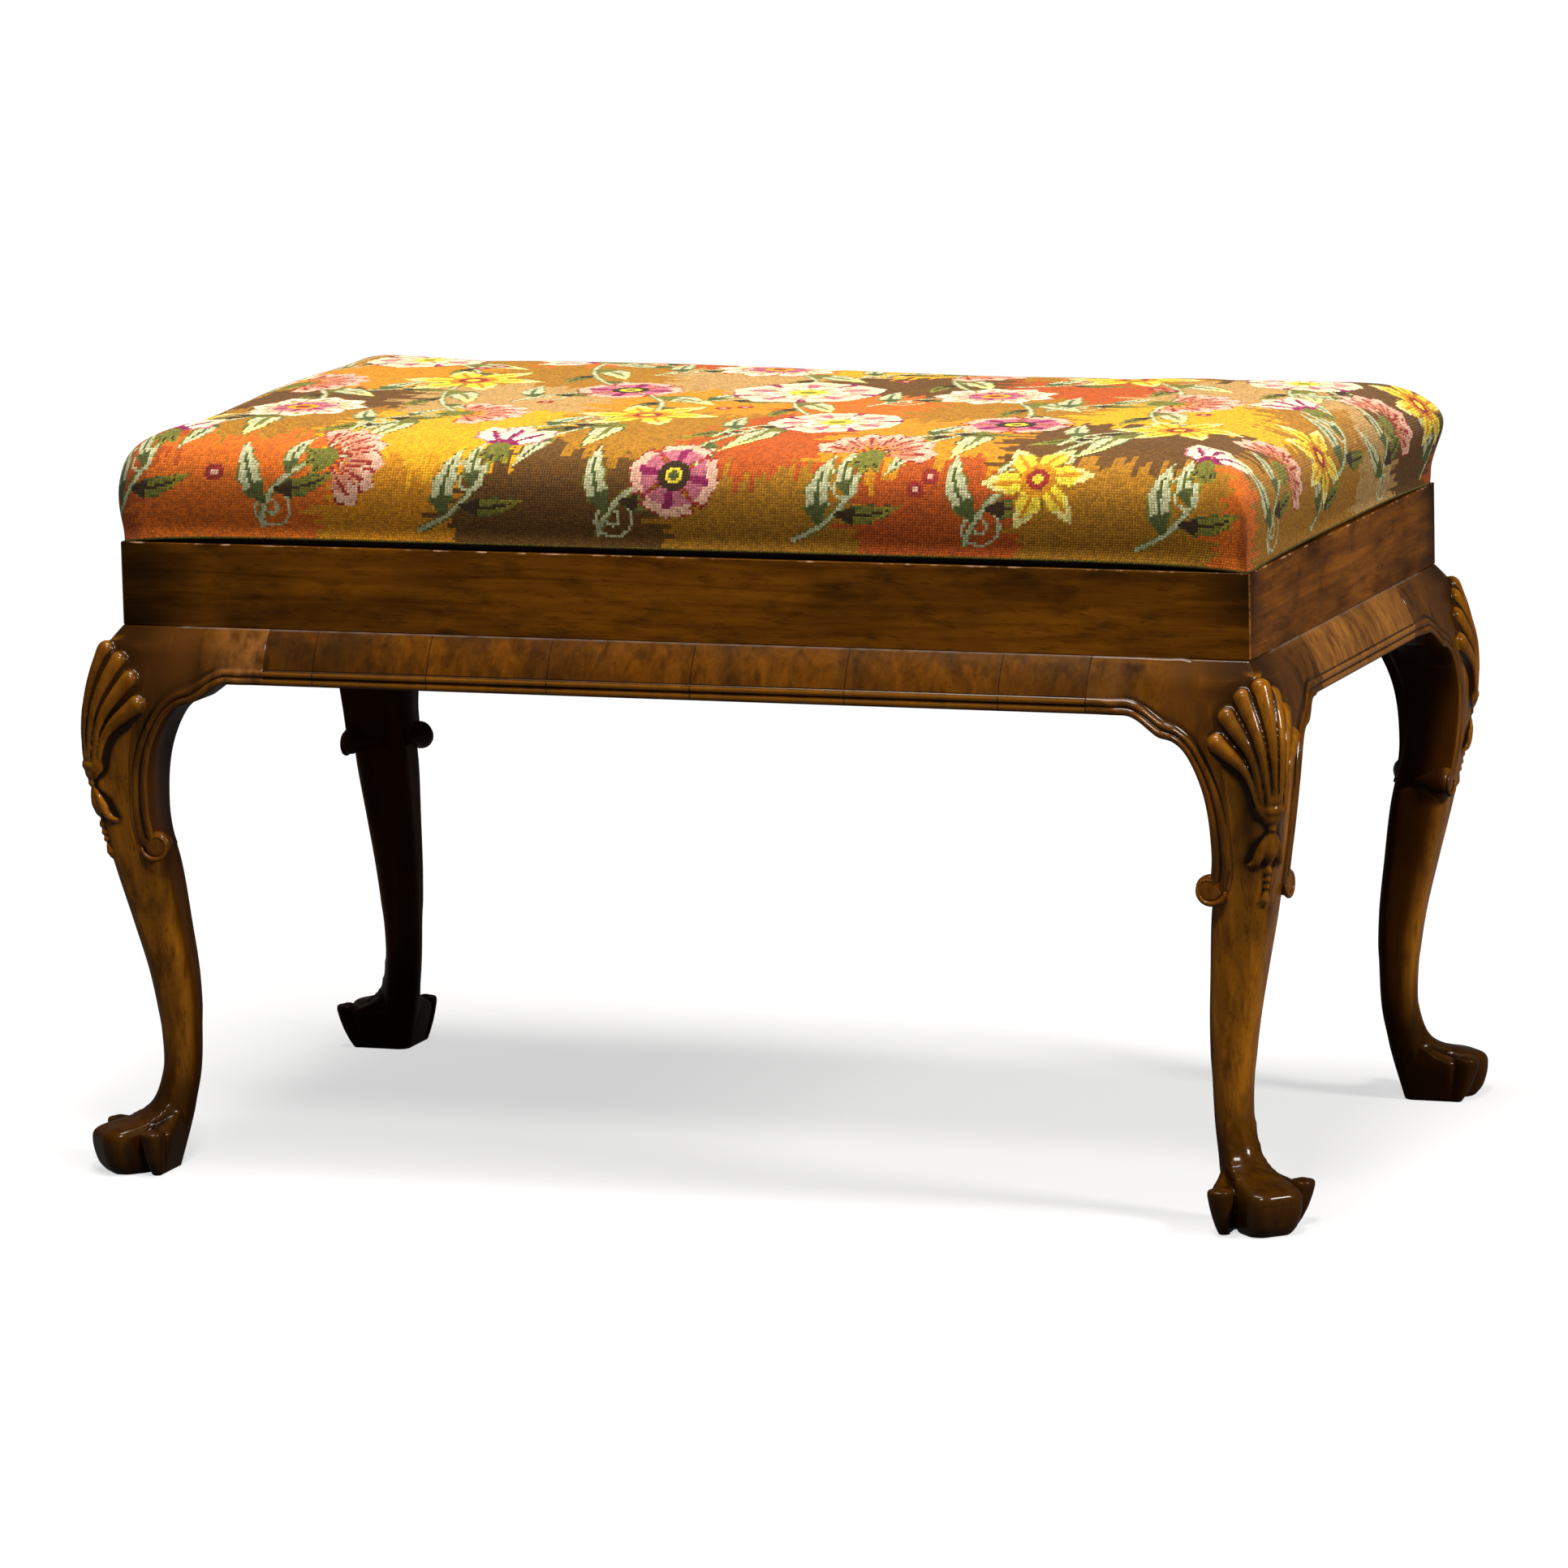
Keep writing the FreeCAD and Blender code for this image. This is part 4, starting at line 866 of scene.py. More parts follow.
def fasteners():
    tree = scatter_tree()
    both = (1, -1)
    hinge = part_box("hinge_left_box_leaf")
    middle = (hinge[0].x + hinge[1].x) / 2 / MM
    for part, body, flip in (("box", "stool", 1), ("lid", "lid", -1)):
        low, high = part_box(f"hinge_screws_{part}")
        face = (high.z if flip > 0 else low.z) / MM
        row = (low.y + high.y) / 2 / MM
        profile = [(radius, flip * level) for radius, level in SCREW]
        places = [(side * (middle + step * SCREW_PITCH), row, face) for side in both for step in (-1, 0, 1)]
        piece = scatter(tree, f"{part}_hinge_screws", profile, places, aged_brass, 3)
        dress(piece, body, aged_brass, "brass", f"hinge_screws_{part}")
    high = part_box("lining_tacks")[1]
    reach_x, reach_y = high.x / MM - TACK_RADIUS, high.y / MM - TACK_RADIUS
    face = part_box("lid_lining")[0].z / MM
    places = [(reach_x * (2 * step / TACKS_ALONG - 1), side * reach_y, face)
              for step in range(TACKS_ALONG + 1) for side in both]
    places += [(side * reach_x, reach_y * (2 * step / TACKS_ACROSS - 1), face)
               for step in range(1, TACKS_ACROSS) for side in both]
    piece = scatter(tree, "tacks", TACK, places, blued_steel, 5)
    dress(piece, "lid", blued_steel, "tack_steel", "lining_tacks")


fasteners()


# Cloths inside the lid

SHEET_CELLS = (60, 32)


def sheet_piece(name, node, finish, slot, dip):
    """A thin cloth stretched over a node's outline; dip is how far it hangs in the middle, in millimetres."""
    low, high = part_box(node)
    middle = (low.z + high.z) / 2
    columns, rows = SHEET_CELLS
    spots = []
    for across in (2 * i / columns - 1 for i in range(columns + 1)):
        for along in (2 * j / rows - 1 for j in range(rows + 1)):
            hang = dip * (1 - across ** 4) * (1 - along ** 4) * MM
            spots.append((across * high.x, along * high.y, middle - hang))
    step = rows + 1
    starts = [i * step + j for i in range(columns) for j in range(rows)]
    mesh = bpy.data.meshes.new(name)
    mesh.from_pydata(spots, [], [(a, a + step, a + step + 1, a + 1) for a in starts])
    mesh.shade_smooth()
    piece = new_object(name, mesh)
    thick = piece.modifiers.new("thickness", "SOLIDIFY")
    thick.thickness = 0.8 * (high.z - low.z)
    thick.offset = 0
    settle(piece)
    dress(piece, "lid", finish, slot, node)


sheet_piece("lining", "lid_lining", lining_cotton, "lining_cotton", 1.5)
sheet_piece("hessian", "lid_hessian", hessian_cloth, "hessian", 0.0)

STRAP_HALF = 25
STRAP_THICK = 1.1
STRAP_LIFT = 1.15
STRAP_CLEAR = 0.05
STRAP_STEPS = 150
LONG_STRAPS, CROSS_STRAPS = 3, 6


def strap_set(node, places, crossings, lengthwise):
    """Webbing straps that go over and under the straps that they cross."""
    low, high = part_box(node)
    run = (high.x if lengthwise else high.y) / MM
    bottom = low.z / MM + STRAP_CLEAR
    corners = [(-STRAP_HALF, 0), (STRAP_HALF, 0), (STRAP_HALF, STRAP_THICK), (-STRAP_HALF, STRAP_THICK)]
    bm = bmesh.new()
    for number, place in enumerate(places):
        passed_over = crossings[0 if (number % 2 == 0) == lengthwise else 1::2]
        rings = []
        for spot in np.linspace(-run, run, STRAP_STEPS):
            gap = min(abs(spot - crossing) for crossing in passed_over)
            height = bottom + STRAP_LIFT * float(1 - ease(gap, STRAP_HALF + 1, STRAP_HALF + 9))
            ring = [(spot, place - aside, height + up) for aside, up in corners]
            rings.append(ring if lengthwise else [(y, x, z) for x, y, z in ring])
        add_rings(bm, rings)
    piece = new_object(f"{node}_straps", blank_mesh(node, bm))
    dress(piece, "lid", jute, "jute_webbing", node)


def webbing():
    inner_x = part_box("lid_rail_left")[1].x / MM
    inner_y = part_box("lid_rail_front")[1].y / MM
    long_places, cross_places = ([inner * (2 * (index + 0.5) / count - 1) for index in range(count)]
                                 for inner, count in ((inner_y, LONG_STRAPS), (inner_x, CROSS_STRAPS)))
    strap_set("webbing_long", long_places, cross_places, True)
    strap_set("webbing_cross", cross_places, long_places, False)


webbing()


# Needlework design: colours of the stitches over the unfolded cover

YARN = {
    "rust": "#a84808", "orange": "#c45e0c", "amber": "#bf7a09", "gold": "#d4930a", "ochre": "#9a6609",
    "brown": "#5e3b09", "bark": "#362206", "tan": "#ab8348", "cream": "#dfca9a", "dusty": "#d8c6a8",
    "blush": "#d6a285", "rose": "#b05f68", "magenta": "#7f1545", "crimson": "#8b261a", "coral": "#c07a58",
    "lemon": "#dcbc2e", "pale": "#dccb78", "mint": "#b1ae82", "olive": "#85791c", "fern": "#4b5222",
    "moss": "#6b671f", "hem": "#6a5712",
}
NAMES = list(YARN)
# Ground colours from the front of the cover to its back, and from its left end to its right
GROUNDS = [
    ("rust", "orange", "amber", "brown", "ochre", "rust", "ochre", "orange"),
    ("rust", "ochre", "gold", "ochre", "rust", "amber", "brown", "ochre"),
    ("amber", "brown", "tan", "amber", "orange", "ochre", "gold", "ochre"),
    ("orange", "amber", "ochre", "tan", "brown", "rust", "tan", "tan"),
    ("tan", "ochre", "orange", "rust", "gold", "ochre", "brown", "brown"),
    ("brown", "rust", "tan", "amber", "tan", "orange", "bark", "rust"),
]
GROUND_ROWS = (-285, -160, -45, 70, 185, 285)
GROUND_COLUMNS = (-470, -330, -195, -65, 65, 195, 330, 470)
STITCH = 2.0
TEETH = 600
DESIGN_SEED = 11
CURL_RADIUS = 17
BERRY_SIZE = 7


def blade(a, b, turn, length, width, fullness, curve):
    """Share of the way along a petal or leaf, and of its half width, for points beside its foot."""
    angle = math.radians(turn)
    along = (a * math.sin(angle) + b * math.cos(angle)) / length
    aside = a * math.cos(angle) - b * math.sin(angle) - curve * along ** 2
    half = width / 2 * np.sin(math.pi * np.clip(along, 0, 1) ** fullness) * (1 + 0.1 * np.cos(24 * along))
    return along, np.abs(aside) / np.maximum(half, 1e-6)


def whorl(count, spread, length, width, fullness, tones, first=0.0, curve=0.0):
    """Petals set evenly over an angle; a spread of 360 is a full ring."""
    gaps = count if spread == 360 else count - 1
    return [(first + spread * (index / gaps - 0.5), length, width, fullness, curve, tones) for index in range(count)]


# Yarns of a petal or leaf: its foot and vein, its middle, its tip, its outline
BLUSH = ("rose", "blush", "cream", "magenta")
IVORY = ("tan", "cream", "dusty", "ochre")
SNOW = ("magenta", "dusty", "cream", "rose")
WINE = ("magenta", "rose", "blush", "crimson")
CORAL = ("crimson", "coral", "blush", "crimson")
YELLOW = ("amber", "lemon", "pale", "ochre")
MINT = ("fern", "mint", "mint", "moss")
MOSS = ("bark", "moss", "olive", "fern")
PALE = ("moss", "mint", "pale", "fern")
CALYX = [(turn, 0.4, 0.24, 0.8, 0.0, MOSS) for turn in (140, 180, 220)]
# Each motif has petals or leaves, then discs at its foot as radius and yarn
MOTIFS = {
    "dog_rose": (whorl(5, 360, 1.0, 1.05, 1.9, BLUSH) + whorl(5, 360, 0.58, 0.56, 1.7, IVORY, 36),
                 [(0.24, "lemon"), (0.12, "olive")]),
    "dahlia": (whorl(9, 360, 1.0, 0.6, 1.7, IVORY, 0, 0.12) + whorl(7, 360, 0.64, 0.5, 1.6, WINE, 20, 0.08),
               [(0.24, "gold"), (0.12, "crimson")]),
    "lily": (whorl(6, 360, 1.0, 0.46, 0.95, YELLOW, 0, 0.15), [(0.2, "crimson"), (0.1, "lemon")]),
    "carnation": (CALYX + whorl(7, 150, 1.0, 0.46, 2.4, CORAL), [(0.2, "moss")]),
    "bellflower": (CALYX + whorl(3, 66, 1.0, 0.58, 1.3, SNOW), [(0.18, "moss")]),
    "poppy": (whorl(4, 360, 1.0, 1.25, 1.7, WINE, 20), [(0.34, "bark"), (0.2, "lemon"), (0.1, "fern")]),
    "leaf": ([(0, 1.0, 0.34, 0.8, 0.35, MINT)], []),
    "frond": ([(0, 1.0, 0.42, 0.8, 0.45, PALE)], []),
    "dark_leaf": ([(0, 1.0, 0.32, 0.8, -0.35, MOSS)], []),
    "berry": ([], [(1.0, "crimson"), (0.4, "blush")]),
}
# Leaves of a stem: step along it, turn, motif, size
VINE_LEAVES = ((18, -48, "frond", 62), (30, 52, "dark_leaf", 46), (42, -44, "leaf", 44))
SPRAY_LEAVES = ((14, -64, "leaf", 56), (24, 58, "dark_leaf", 48), (36, -50, "leaf", 40))
STEM_STEPS = 60
TENDRIL_STEP = 26
# Sprays over the unfolded cover in millimetres: root, tip, bend, flower, its size
SPRAYS = [
    (-400, 90, -335, 150, 26, "dog_rose", 50), (-120, 120, -195, 168, -30, "bellflower", 56),
    (-130, 90, -55, 150, 26, "dahlia", 48), (20, 110, 85, 165, 30, "carnation", 56),
    (150, 85, 220, 150, -24, "lily", 54), (420, 120, 345, 158, 24, "dog_rose", 44),
    (-440, -40, -385, 15, 24, "carnation", 54), (-330, -25, -255, 38, -26, "lily", 56),
    (-185, -60, -120, 8, 24, "poppy", 40), (-70, -40, 12, 22, -30, "dog_rose", 58),
    (80, -40, 152, 30, 26, "dahlia", 46), (215, -45, 288, 12, 28, "carnation", 56),
    (450, -30, 392, 36, -26, "bellflower", 50), (-400, -170, -330, -108, -26, "dahlia", 50),
    (-260, -190, -200, -125, 28, "carnation", 52), (-140, -180, -62, -112, -26, "lily", 54),
    (15, -190, 86, -126, 26, "dog_rose", 50), (150, -185, 216, -118, -26, "poppy", 42),
    (270, -190, 338, -124, 26, "lily", 50), (-440, -290, -392, -212, -22, "bellflower", 46),
    (-310, -292, -262, -236, 22, "carnation", 46), (-190, -292, -135, -222, -26, "bellflower", 48),
    (-55, -292, 2, -244, 22, "poppy", 34), (90, -292, 142, -222, -24, "carnation", 48),
    (215, -292, 268, -240, 22, "lily", 42), (340, -292, 388, -226, -20, "bellflower", 44),
    (-300, 292, -258, 232, 22, "dahlia", 40), (-150, 292, -115, 236, -22, "carnation", 44),
    (0, 292, 38, 230, 22, "bellflower", 44), (130, 292, 165, 238, -22, "dog_rose", 38),
    (265, 292, 300, 234, 20, "carnation", 44), (480, -190, 425, -140, 20, "carnation", 40),
    (480, -80, 428, -50, -20, "lily", 40), (480, 95, 425, 120, 20, "carnation", 40),
    (480, 205, 420, 200, -16, "lily", 38), (-480, -170, -425, -120, -20, "lily", 42),
    (-480, 10, -428, 60, 20, "dahlia", 38), (-480, 160, -425, 200, -20, "carnation", 44),
]
BERRIES = [
    (-275, 105), (-265, 118), (-20, -70), (-6, -62), (255, 90), (268, 82), (180, -250), (190, -240), (-345, -250),
    (60, 100), (330, -40), (-160, -60),
]
# Vines that run under the sprays: start, stop, bend
VINES = [
    (-335, 150, -255, 38, 34), (-195, 168, -120, 8, -38), (-55, 150, 12, 22, 30), (85, 165, 152, 30, -34),
    (220, 150, 288, 12, 38), (345, 158, 392, 36, -28), (-385, 15, -330, -108, 34), (-255, 38, -200, -125, -36),
    (-120, 8, -62, -112, 32), (12, 22, 86, -126, -36), (152, 30, 216, -118, 34), (288, 12, 338, -124, -32),
    (-330, -108, -392, -212, 26), (-200, -125, -262, -236, -26), (-62, -112, -135, -222, 28),
    (86, -126, 2, -244, -26), (216, -118, 142, -222, 26), (338, -124, 268, -240, -28),
]


class Design:
    """The stitches of the cover: where each lies on the unfolded cloth, and the yarn it is worked in."""

    def __init__(self, places):
        self.places = places
        self.random = np.random.default_rng(DESIGN_SEED)
        self.ink = self.grounds()

    def grounds(self):
        """Patches of plain colour that meet in ragged teeth, as rows of stitches run into each other."""
        columns = np.round(self.places / STITCH).astype(int)
        teeth = self.random.uniform(-9, 9, (2, TEETH))
        teeth = teeth + np.repeat(self.random.uniform(-11, 11, (2, TEETH // 3)), 3, axis=1)
        shift = [row[columns[:, axis] % TEETH] for row, axis in zip(teeth, (Y, X))]
        shifted = self.places + np.stack(shift, axis=1)
        nearest = np.full(len(shifted), FAR)
        ink = np.zeros(len(shifted), int)
        for y, row in zip(GROUND_ROWS, GROUNDS):
            for x, yarn in zip(GROUND_COLUMNS, row):
                site = x + self.random.uniform(-38, 38), y + self.random.uniform(-28, 28)
                gap = np.hypot(shifted[:, 0] - site[0], 1.1 * (shifted[:, 1] - site[1]))
                closer = gap < nearest
                nearest[closer] = gap[closer]
                ink[closer] = NAMES.index(yarn)
        return ink

    def work(self, chosen, yarn):
        self.ink[chosen] = NAMES.index(yarn)

    def near(self, centre, reach):
        return np.flatnonzero(np.hypot(*(self.places - centre).T) < reach)

    def follow(self, line, centre, reach, *yarns):
        """Works along a line, a yarn over each half width; its stitches lie within reach of a centre."""
        near = self.near(centre, reach)
        gap = np.full(len(near), FAR)
        for spot in line:
            gap = np.minimum(gap, np.hypot(*(self.places[near] - spot).T))
        for half, yarn in yarns:
            self.work(near[gap < half], yarn)

    def motif(self, kind, x, y, size, heading):
        """Works one motif with its foot at a place; heading 0 points up the cloth."""
        near = self.near((x, y), 1.2 * size)
        angle = math.radians(heading)
        a, b = ((self.places[near] - (x, y)) / size).T
        a, b = a * math.cos(angle) - b * math.sin(angle), a * math.sin(angle) + b * math.cos(angle)
        petals, discs = MOTIFS[kind]
        for turn, length, width, fullness, curve, (foot, middle, tip, outline) in petals:
            along, aside = blade(a, b, turn, length, width, fullness, curve)
            on = (along > 0) & (along < 1) & (aside < 1)
            self.work(near[on], middle)
            self.work(near[on & (along + 0.25 * aside ** 2 > 0.72)], tip)
            self.work(near[on & ((along < 0.3) | ((aside < 0.16) & (along < 0.78)))], foot)
            self.work(near[on & (aside > 0.86)], outline)
        for radius, yarn in discs:
            self.work(near[np.hypot(a, b) < radius], yarn)

    def tendril(self, start, way):
        """A thin curl that leaves a stem and winds up on itself."""
        turn = np.linspace(0, 1.5 * math.pi * 2, 70)
        radius = np.interp(turn, [0, turn[-1]], [CURL_RADIUS, 2.5])
        across = np.array((way[1], -way[0]))
        centre = start + CURL_RADIUS * across + 8 * way
        curl = centre + radius[:, None] * (np.outer(np.sin(turn), way) - np.outer(np.cos(turn), across))
        self.follow(curl, centre, CURL_RADIUS + 7, (1.3, "mint"))

    def stem(self, x, y, tip_x, tip_y, bend):
        """Works a bent stem; returns points along it, the heading at each, and the side it bends to."""
        root, tip = np.array((x, y), float), np.array((tip_x, tip_y), float)
        run = tip - root
        length = np.hypot(*run)
        side = np.array((-run[1], run[0])) / length
        centre = (root + tip) / 2
        knee = centre + side * bend
        share = np.linspace(0, 1, STEM_STEPS)[:, None]
        line = (1 - share) ** 2 * root + 2 * share * (1 - share) * knee + share ** 2 * tip
        self.follow(line, centre, length * 0.5 + abs(bend) + 10, (3.0, "moss"), (1.8, "mint"))
        headings = np.degrees(np.arctan2(*np.gradient(line, axis=0).T))
        return line, headings, math.copysign(1, bend) * side

    def leaves(self, line, headings, leaves):
        for step, turn, kind, size in leaves:
            self.motif(kind, *line[step], size, headings[step] + turn)

    def vine(self, *course):
        """A stem with broad leaves and no flower."""
        line, headings, _ = self.stem(*course)
        self.leaves(line, headings, VINE_LEAVES)

    def spray(self, *course):
        """A stem with leaves on alternate sides, a tendril, and a flower at its tip."""
        *run, flower, size = course
        line, headings, side = self.stem(*run)
        self.tendril(line[TENDRIL_STEP], -side)
        self.leaves(line, headings, SPRAY_LEAVES)
        self.motif(flower, *line[-1], size, headings[-1])

    def colours(self):
        """Linear colours, with the small differences between one dyed length of wool and the next."""
        palette = np.array([colour(YARN[name])[:3] for name in NAMES])
        lot = self.random.uniform(0.7, 1.26, len(self.ink))
        return palette[self.ink] * lot[:, None]


# Cushion: a grid that follows the stitches, swelled as cloth

# Profile of the cushion from its lower edge to its crown: reach outside the box face, height
CUSHION = [
    (-0.5, 461.5), (3, 471), (5.5, 486), (5.5, 501), (3.5, 512), (-2, 521.5), (-9.5, 528), (-20, 531.5),
    (-46, 533.5), (-95, 534.5), (-150, 535), (-200, 535.2),
]
EDGE_STATION = 4
CELL = 8.0
STITCHES_PER_CELL = 4
SIDE_CELLS = 7
CORNER_ROUND = 18
CORNER_PULL = 0.35
CORNER_CREASE = 0.45
DROOP = 3.6
END_DROOP = 2
LEFT_FULLER, RIGHT_SETTLED = 3.5, 3
BACK_BULGE = 9
BULGE_HEIGHT, BULGE_SPREAD = 506, 21
SWELL_FRAMES = 20
SWELL_MOST = 5.0


class Profile:
    """The cushion's profile measured along the cloth."""

    def __init__(self):
        points = np.array(CUSHION, float)
        steps = np.hypot(*np.diff(points, axis=0).T)
        self.stations = [(run, *point) for run, point in zip(np.concatenate([[0], np.cumsum(steps)]), points)]
        self.edge = self.stations[EDGE_STATION][0]
        self.end = self.stations[-1][0]

    def at(self, run):
        """Reach and height at distances along the cloth; the crown is level past the last station."""
        columns = through(self.stations, np.minimum(run, self.end))
        past = np.maximum(np.asarray(run) - self.end, 0)
        return columns[:, 1] - past, columns[:, 2]

    def lines(self, half):
        """Grid lines from one end of the top to the other: place, height and count of cells."""
        total = self.end + half + self.stations[-1][1] - self.edge
        cells = round(total / CELL)
        reach, height = self.at(self.edge + np.linspace(0, total, cells + 1))
        place = half + reach
        return np.concatenate([-place, place[-2::-1]]), np.concatenate([height, height[-2::-1]]), cells


PROFILE = Profile()


def cushion_grid():
    """The coarse cover: top and four sides, with the stitch grid kept as a UV map."""
    x_line, x_height, x_cells = PROFILE.lines(HALF_LENGTH)
    y_line, y_height, y_cells = PROFILE.lines(HALF_DEPTH)
    last_i, last_j = 2 * x_cells, 2 * y_cells
    crown = CUSHION[-1][1]
    side_reach, side_height = PROFILE.at(np.linspace(PROFILE.edge, 0, SIDE_CELLS + 1))
    side_share = (side_height - side_height[-1]) / (side_height[0] - side_height[-1])
    spots, index, faces, corners = [], {}, [], []

    def top_height(x, y, i, j):
        # The left end is stuffed fuller than the right, most of all towards the back
        end_share = 0.85 - 0.6 * ease(y, -200, 80) if i < x_cells else 1.1
        drops = np.array([(crown - x_height[i]) * end_share, crown - y_height[j]])
        fuller = LEFT_FULLER * ease(-x, -150, 200) * ease(y, -150, 150)
        settled = RIGHT_SETTLED * ease(x, 260, 400) * ease(y, 60, 200)
        return crown + fuller - settled - float((drops ** 3).sum() ** (1 / 3))

    def node(i, j, k):
        """A grid point: column and row of the top, and steps down a side."""
        key = (i, j, k)
        if key in index:
            return index[key]
        x, y = x_line[i], y_line[j]
        z = top_height(x, y, i, j)
        if k:
            spread = side_reach[k] - side_reach[0]
            x *= 1 + spread / HALF_LENGTH
            y *= 1 + spread / HALF_DEPTH
            if i in (0, last_i):
                droop = DROOP * (abs(y) / HALF_DEPTH) ** 4 + END_DROOP
            else:
                droop = (DROOP + END_DROOP) * (abs(x) / HALF_LENGTH) ** 10
            lowest = side_height[-1] - droop
            z = lowest + (z - lowest) * side_share[k]
        over_x, over_y = (max(abs(value) - half + CORNER_ROUND, 0) for value, half in zip((x, y), HALVES))
        if over_x and over_y:
            pull = CORNER_PULL * (1 - max(over_x, over_y) / math.hypot(over_x, over_y))
            x -= math.copysign(over_x * pull, x)
            y -= math.copysign(over_y * pull, y)
        # The stuffing has settled towards the back corner of the right end
        bulge = math.exp(-((z - BULGE_HEIGHT) / BULGE_SPREAD) ** 2)
        settled = BACK_BULGE * ease(x, 250, 420) * ease(y, 60, 233) * bulge
        index[key] = len(spots)
        spots.append(((x + settled) * MM, (y + settled) * MM, z * MM))
        return index[key]

    def patch(axis, *keys):
        """A face; steps down a side lengthen its stitch coordinates along an axis."""
        faces.append([node(*key) for key in keys])
        for i, j, k in keys:
            stitch = [i - x_cells, j - y_cells]
            stitch[axis] += math.copysign(k, stitch[axis])
            corners.extend(value * STITCHES_PER_CELL for value in stitch)

    for i in range(last_i):
        for j in range(last_j):
            patch(X, (i, j, 0), (i + 1, j, 0), (i + 1, j + 1, 0), (i, j + 1, 0))
        for k in range(SIDE_CELLS):
            patch(Y, (i, 0, k + 1), (i + 1, 0, k + 1), (i + 1, 0, k), (i, 0, k))
            patch(Y, (i + 1, last_j, k + 1), (i, last_j, k + 1), (i, last_j, k), (i + 1, last_j, k))
    for j in range(last_j):
        for k in range(SIDE_CELLS):
            patch(X, (0, j + 1, k + 1), (0, j, k + 1), (0, j, k), (0, j + 1, k))
            patch(X, (last_i, j, k + 1), (last_i, j + 1, k + 1), (last_i, j + 1, k), (last_i, j, k))
    mesh = bpy.data.meshes.new("cushion_grid")
    mesh.from_pydata(spots, [], faces)
    layer = mesh.uv_layers.new(name="stitches")
    layer.data.foreach_set("uv", np.array(corners, np.float32))
    hem = [number for key, number in index.items() if key[2] == SIDE_CELLS]
    seams = [{index[(i, j, k)], index[(i, j, k + 1)]}
             for i in (0, last_i) for j in (0, last_j) for k in range(SIDE_CELLS)]
    crease = mesh.attributes.new("crease_edge", "FLOAT", "EDGE")
    for edge in mesh.edges:
        if set(edge.vertices) in seams:
            crease.data[edge.index].value = CORNER_CREASE
    return mesh, hem


def swell(piece, held):
    """Lets the stuffing press the cover out as cloth, with its lower edge held and no point moving far."""
    mesh = piece.data
    rest = read(mesh.vertices, "co", 3)
    pinned = piece.vertex_groups.new(name="hem")
    pinned.add(held, 1.0, "REPLACE")
    cloth = piece.modifiers.new("swell", "CLOTH")
    cloth.settings.use_pressure = True
    cloth.settings.uniform_pressure_force = 4.0
    cloth.settings.vertex_group_mass = "hem"
    cloth.settings.effector_weights.gravity = 0
    cloth.settings.tension_stiffness = 25
    cloth.settings.compression_stiffness = 25
    cloth.settings.bending_stiffness = 0.8
    cloth.point_cache.frame_end = SWELL_FRAMES
    scene = bpy.context.scene
    for number in range(1, SWELL_FRAMES + 1):
        scene.frame_set(number)
    shaped = piece.evaluated_get(bpy.context.evaluated_depsgraph_get()).data
    step = read(shaped.vertices, "co", 3) - rest
    length = np.linalg.norm(step, axis=1)[:, None]
    step *= np.minimum(1, SWELL_MOST * MM / np.maximum(length, 1e-9))
    piece.modifiers.clear()
    piece.vertex_groups.clear()
    mesh.vertices.foreach_set("co", (rest + step).ravel())
    scene.frame_set(1)


def close_under(mesh):
    """Turns the lower edge in to the lid frame and closes the cushion over it."""
    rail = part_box("lid_rail_front")
    half_x, half_y = rail[1].x + 0.6 * MM, -rail[0].y + 0.6 * MM
    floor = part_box("lid_hessian")[1].z + 0.5 * MM
    bm = bmesh.new()
    bm.from_mesh(mesh)
    edges = [edge for edge in bm.edges if edge.is_boundary]
    for raise_to in (None, floor):
        made = bmesh.ops.extrude_edge_only(bm, edges=edges)["geom"]
        for vert in (part for part in made if isinstance(part, bmesh.types.BMVert)):
            vert.co.x = min(max(vert.co.x, -half_x), half_x)
            vert.co.y = min(max(vert.co.y, -half_y), half_y)
            vert.co.z = raise_to or vert.co.z + 0.8 * MM
        edges = [part for part in made if isinstance(part, bmesh.types.BMEdge) and part.is_boundary]
    bmesh.ops.edgeloop_fill(bm, edges=edges)
    bmesh.ops.recalc_face_normals(bm, faces=bm.faces)
    bm.to_mesh(mesh)
    bm.free()


def work_stitches(mesh):
    """Colours every face of the fine cover as one stitch."""
    loops = read(mesh.uv_layers["stitches"].data, "uv", 2)
    totals = read(mesh.polygons, "loop_total", 1, np.int32).ravel()
    owner = np.repeat(np.arange(len(totals)), totals)
    middle = [np.bincount(owner, column) / totals * STITCH for column in loops.T]
    design = Design(np.stack(middle, axis=1))
    for vine in VINES:
        design.vine(*vine)
    for spray in SPRAYS:
        design.spray(*spray)
    for x, y in BERRIES:
        design.motif("berry", x, y, BERRY_SIZE, 0)
    low_rows = (SIDE_CELLS * STITCHES_PER_CELL - 1) * STITCH
    tops = [PROFILE.lines(half)[2] * STITCHES_PER_CELL * STITCH for half in HALVES]
    beyond = np.max([np.abs(place) - top for place, top in zip(middle, tops)], axis=0)
    design.work(beyond > low_rows, "hem")
    rgba = np.ones((len(mesh.loops), 4), np.float32)
    rgba[:, :3] = design.colours()[owner]
    layer = mesh.color_attributes.new("yarn", "FLOAT_COLOR", "CORNER")
    layer.data.foreach_set("color", rgba.ravel())


def cushion():
    mesh, hem = cushion_grid()
    piece = new_object("needlework_cushion", mesh)
    swell(piece, hem)
    fine = piece.modifiers.new("stitches", "SUBSURF")
    fine.levels = fine.render_levels = 2
    fine.uv_smooth = "NONE"
    settle(piece)
    close_under(piece.data)
    work_stitches(piece.data)
    piece.data.shade_smooth()
    dress(piece, "lid", wool, "needlework", "needlework_cover", "lid_stuffing")


cushion()


# Stage, lights and camera

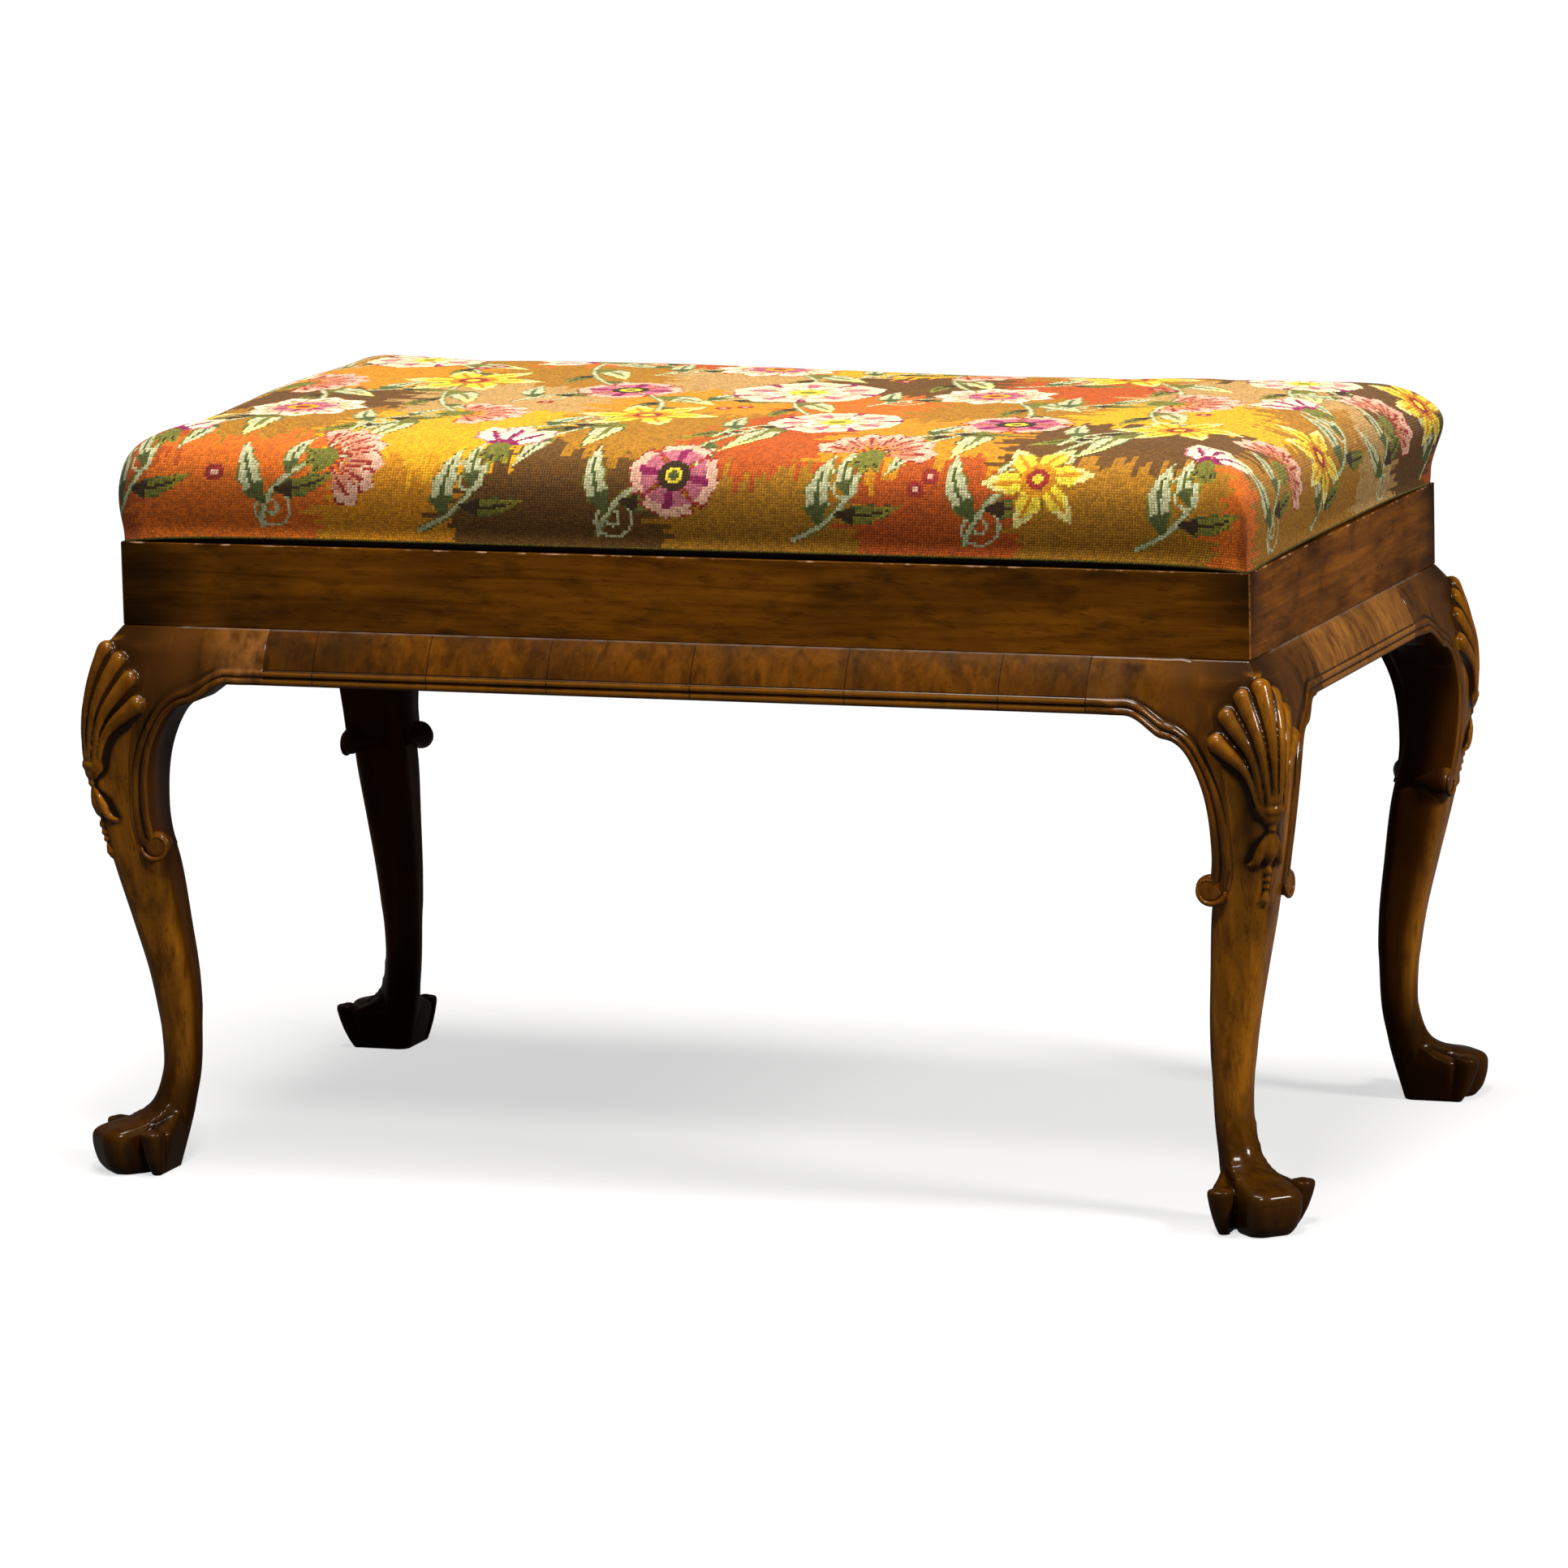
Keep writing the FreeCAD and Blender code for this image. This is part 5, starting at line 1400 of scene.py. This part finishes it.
WHITE = (1, 1, 1, 1)
FLOOR_REACH = 60.0


def stage():
    """A pale floor that shows white to the camera and keeps the stool's shadow, under soft overhead light."""
    ground = Finish("white_floor")
    seen = add(ground.tree, "ShaderNodeLightPath").outputs
    ground.blend(seen["Is Camera Ray"], "#3d3a36", "#eeece8")
    material = ground.finished(Roughness=0.9)
    mirrored = ground.calc("MAXIMUM", seen["Is Glossy Ray"], seen["Is Transmission Ray"])
    background = ground.calc("MAXIMUM", seen["Is Camera Ray"], ground.calc("MULTIPLY", mirrored, 0.1))
    # Away from the stool the floor runs out to plain white
    away = ground.vector("LENGTH", ground.place, output="Value")
    share = ground.calc("MULTIPLY", background, ground.ramp(away, 0.3, 1.5, 0.62, 1, "SMOOTHSTEP"))
    white = ground.get("ShaderNodeEmission", {"Color": WHITE, "Strength": 1.0})
    mixed = ground.get("ShaderNodeMixShader", {0: share, 1: ground.shader.outputs[0], 2: white})
    fill(ground.tree, ground.tree.nodes["Material Output"], {0: mixed})
    mesh = bpy.data.meshes.new("floor")
    spots = [(x * FLOOR_REACH, y * FLOOR_REACH, 0) for x, y in ((-1, -1), (1, -1), (1, 1), (-1, 1))]
    mesh.from_pydata(spots, [], [(0, 1, 2, 3)])
    mesh.materials.append(material)
    new_object("floor", mesh)

    world = bpy.data.worlds.new("studio")
    bpy.context.scene.world = world
    world.use_nodes = True
    tree = world.node_tree
    seen = add(tree, "ShaderNodeLightPath").outputs["Is Camera Ray"]
    soft, white = (add(tree, "ShaderNodeBackground", {"Color": WHITE, "Strength": strength}).outputs[0]
                   for strength in (0.08, 1.0))
    mixed = add(tree, "ShaderNodeMixShader", {0: seen, 1: soft, 2: white}).outputs[0]
    fill(tree, tree.nodes["World Output"], {0: mixed})


# Lamps: place, the point they face, width and height, watts
LAMPS = {
    "overhead": ((-0.1, -0.2, 2.6), (0, 0, 0.4), 1.1, 0.8, 95),
    "front": ((0.68, -2.1, 2.95), (0, 0, 0.3), 0.6, 0.6, 70),
    "right_end": ((2.9, -0.7, 2.1), (0.2, 0, 0.35), 0.6, 0.6, 92),
}


def lamps():
    for name, (spot, aim, width, height, watts) in LAMPS.items():
        light = bpy.data.lights.new(name, "AREA")
        light.shape = "RECTANGLE"
        light.size, light.size_y, light.energy = width, height, watts
        lamp = new_object(name, light)
        lamp.location = spot
        lamp.rotation_euler = (Vector(aim) - Vector(spot)).to_track_quat("-Z", "Y").to_euler()


# The photograph's view: eye in metres, angles in degrees, focal length and axis in pixels of its frame
EYE = (2.0908, -5.72626, 1.29804)
AZIMUTH, ELEVATION, ROLL = 19.820, 9.663, -1.3035
FOCAL_PIXELS = 10500
AXIS_PIXELS = (52.4, -5.4)
FRAME_PIXELS = 1932


def camera():
    azimuth, elevation, roll = (math.radians(angle) for angle in (AZIMUTH, ELEVATION, ROLL))
    level = Vector((math.cos(azimuth), math.sin(azimuth), 0))
    out = math.cos(elevation)
    back = Vector((math.sin(azimuth) * out, -math.cos(azimuth) * out, math.sin(elevation)))
    upright = back.cross(level)
    right = level * math.cos(roll) + upright * math.sin(roll)
    top = upright * math.cos(roll) - level * math.sin(roll)
    lens = bpy.data.cameras.new("photo_view")
    lens.sensor_width = 36
    lens.lens = lens.sensor_width * FOCAL_PIXELS / FRAME_PIXELS
    lens.shift_x = -AXIS_PIXELS[0] / FRAME_PIXELS
    lens.shift_y = AXIS_PIXELS[1] / FRAME_PIXELS
    lens.clip_end = 200
    eye = new_object("photo_view", lens)
    turn = Matrix((right, top, back)).transposed().to_4x4()
    eye.matrix_world = Matrix.Translation(EYE) @ turn
    bpy.context.scene.camera = eye


stage()
lamps()
camera()
bpy.context.scene.view_settings.view_transform = "Standard"
